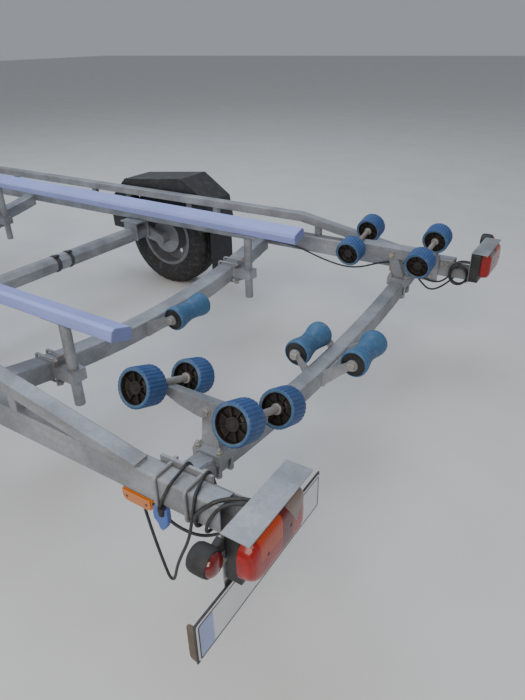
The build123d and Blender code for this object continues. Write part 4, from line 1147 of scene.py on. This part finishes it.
roll = [(22.2, -25)]
for layer in range(STRAP_LAYERS + 1):
    roll += [(46 - 0.5 * (layer % 2), -25 + 50 * layer / STRAP_LAYERS)]
roll.append((22.2, 25))
strap = Shell("winch_strap")
strap.add(lathe(roll, 64, closed=True), "strap_web", WINCH)
strap.finish("winch_drum", "black_rubber")
gear = Shell("winch_gear")
gear.add(lathe(GEAR, 96, tooth_ripple, closed=True), "bolt_zinc", WINCH)
gear.finish("winch_drum", "galvanised_steel", angle=28)


def grip(name, body, place, radius, length):
    """A ribbed hand grip over a round bar that stands along local Y."""
    ribs = [(radius, -length / 2), (radius + 1.6, -length / 2 + 1.2)]
    count = int(length / 7)
    step = (length - 8) / count
    for rib in range(count):
        y = 4 - length / 2 + step * rib
        ribs += [(radius + 1.6, y), (radius + 1.6, y + step * 0.55)]
        ribs += [(radius + 0.7, y + step * 0.65), (radius + 0.7, y + step * 0.9)]
    ribs += [(radius + 1.6, length / 2 - 3), (radius + 1, length / 2), (0, length / 2 + 0.4)]
    piece = Shell(name)
    piece.add(lathe(ribs, 32), "grip", place)
    piece.finish(body, "black_rubber")


grip("crank_grip", "winch_crank", stand(4590, -112, 970, (0, -1, 0)), 13.2, 92)
grip("brake_grip", "root", stand(5366, 58, 768, (0, 0, 1)), 14.2, 108)
grip("jockey_grip", "root", stand(5265, 95, 876, (0, 0, 1)), 11.2, 76)

# The jockey wheel's tyre and disc

JOCKEY = Matrix.Translation((5120, 95, 100))
JOCKEY_HALF = [
    (100, 0), (99.8, 8), (98.6, 15), (95, 22), (88, 27.6), (78, 30), (70, 29.4), (66, 27), (64, 22),
]
JOCKEY_DISC = [
    (66, 26), (63, 26.4), (61, 24), (58, 14), (44, 8), (30, 8), (25, 11), (24, 15), (24, 36), (22.5, 37),
    (8.5, 37), (8.5, 20),
]
JOCKEY_SPOKE = [(24, 8), (60, 12), (60, 17), (24, 26)]
JOCKEY_SPOKES = 5
wheel_tyre = Shell("jockey_tyre")
wheel_tyre.add(lathe(both_halves(JOCKEY_HALF), 72), "black_rubber", JOCKEY)
wheel_tyre.finish("jockey_wheel", "black_rubber", ["jockey_wheel"], angle=60)
wheel_disc = Shell("jockey_disc")
for face in (-1, 1):
    wheel_disc.add(lathe(across(JOCKEY_DISC, face), 64), "bolt_zinc", JOCKEY)
    for number in range(JOCKEY_SPOKES):
        turn = Matrix.Rotation(2 * math.pi * number / JOCKEY_SPOKES, 4, "Y")
        wheel_disc.add(spoke(JOCKEY_SPOKE, 2.5, face), "bolt_zinc", JOCKEY @ turn)
wheel_disc.finish("jockey_wheel", "black_rubber", ["jockey_wheel"])

# Floor and light

floor_mesh = bpy.data.meshes.new("floor")
floor_mesh.from_pydata(
    [(x * FLOOR_REACH, y * FLOOR_REACH, 0.0) for x, y in ((-1, -1), (1, -1), (1, 1), (-1, 1))],
    [], [(0, 1, 2, 3)],
)
floor_look = Graph("floor", FLOOR_COLOUR, 0.85)
floor_look.colour(floor_look.mottled(3.0, 6.0, FLOOR_COLOUR, (0.35, 0.97), (0.65, 1.03)))
floor_mesh.materials.append(floor_look.material)
floor = show("floor", floor_mesh)

world = bpy.data.worlds.new("world")
bpy.context.scene.world = world
world.use_nodes = True
fill(world.node_tree.nodes["Background"], Color=(0.86, 0.91, 1.0, 1.0), Strength=0.36)

LIGHTS = (
    ("key", (-4.5, 5.5, 4.4), 4.0, 330.0, (1.0, 0.90, 0.79)),
    ("top", (0.0, -1.0, 6.5), 6.0, 290.0, (0.74, 0.85, 1.0)),
    ("fill", (5.0, 3.0, 3.5), 4.0, 120.0, (0.95, 0.97, 1.0)),
)
for light_name, place, size, power, tint in LIGHTS:
    light = bpy.data.lights.new(light_name, "AREA")
    light.size = size
    light.energy = power
    light.color = tint
    lamp = show(light_name, light)
    lamp.location = place
    aim = Vector((-1.5, 0.0, 0.4)) - Vector(place)
    lamp.rotation_euler = aim.to_track_quat("-Z", "Y").to_euler()
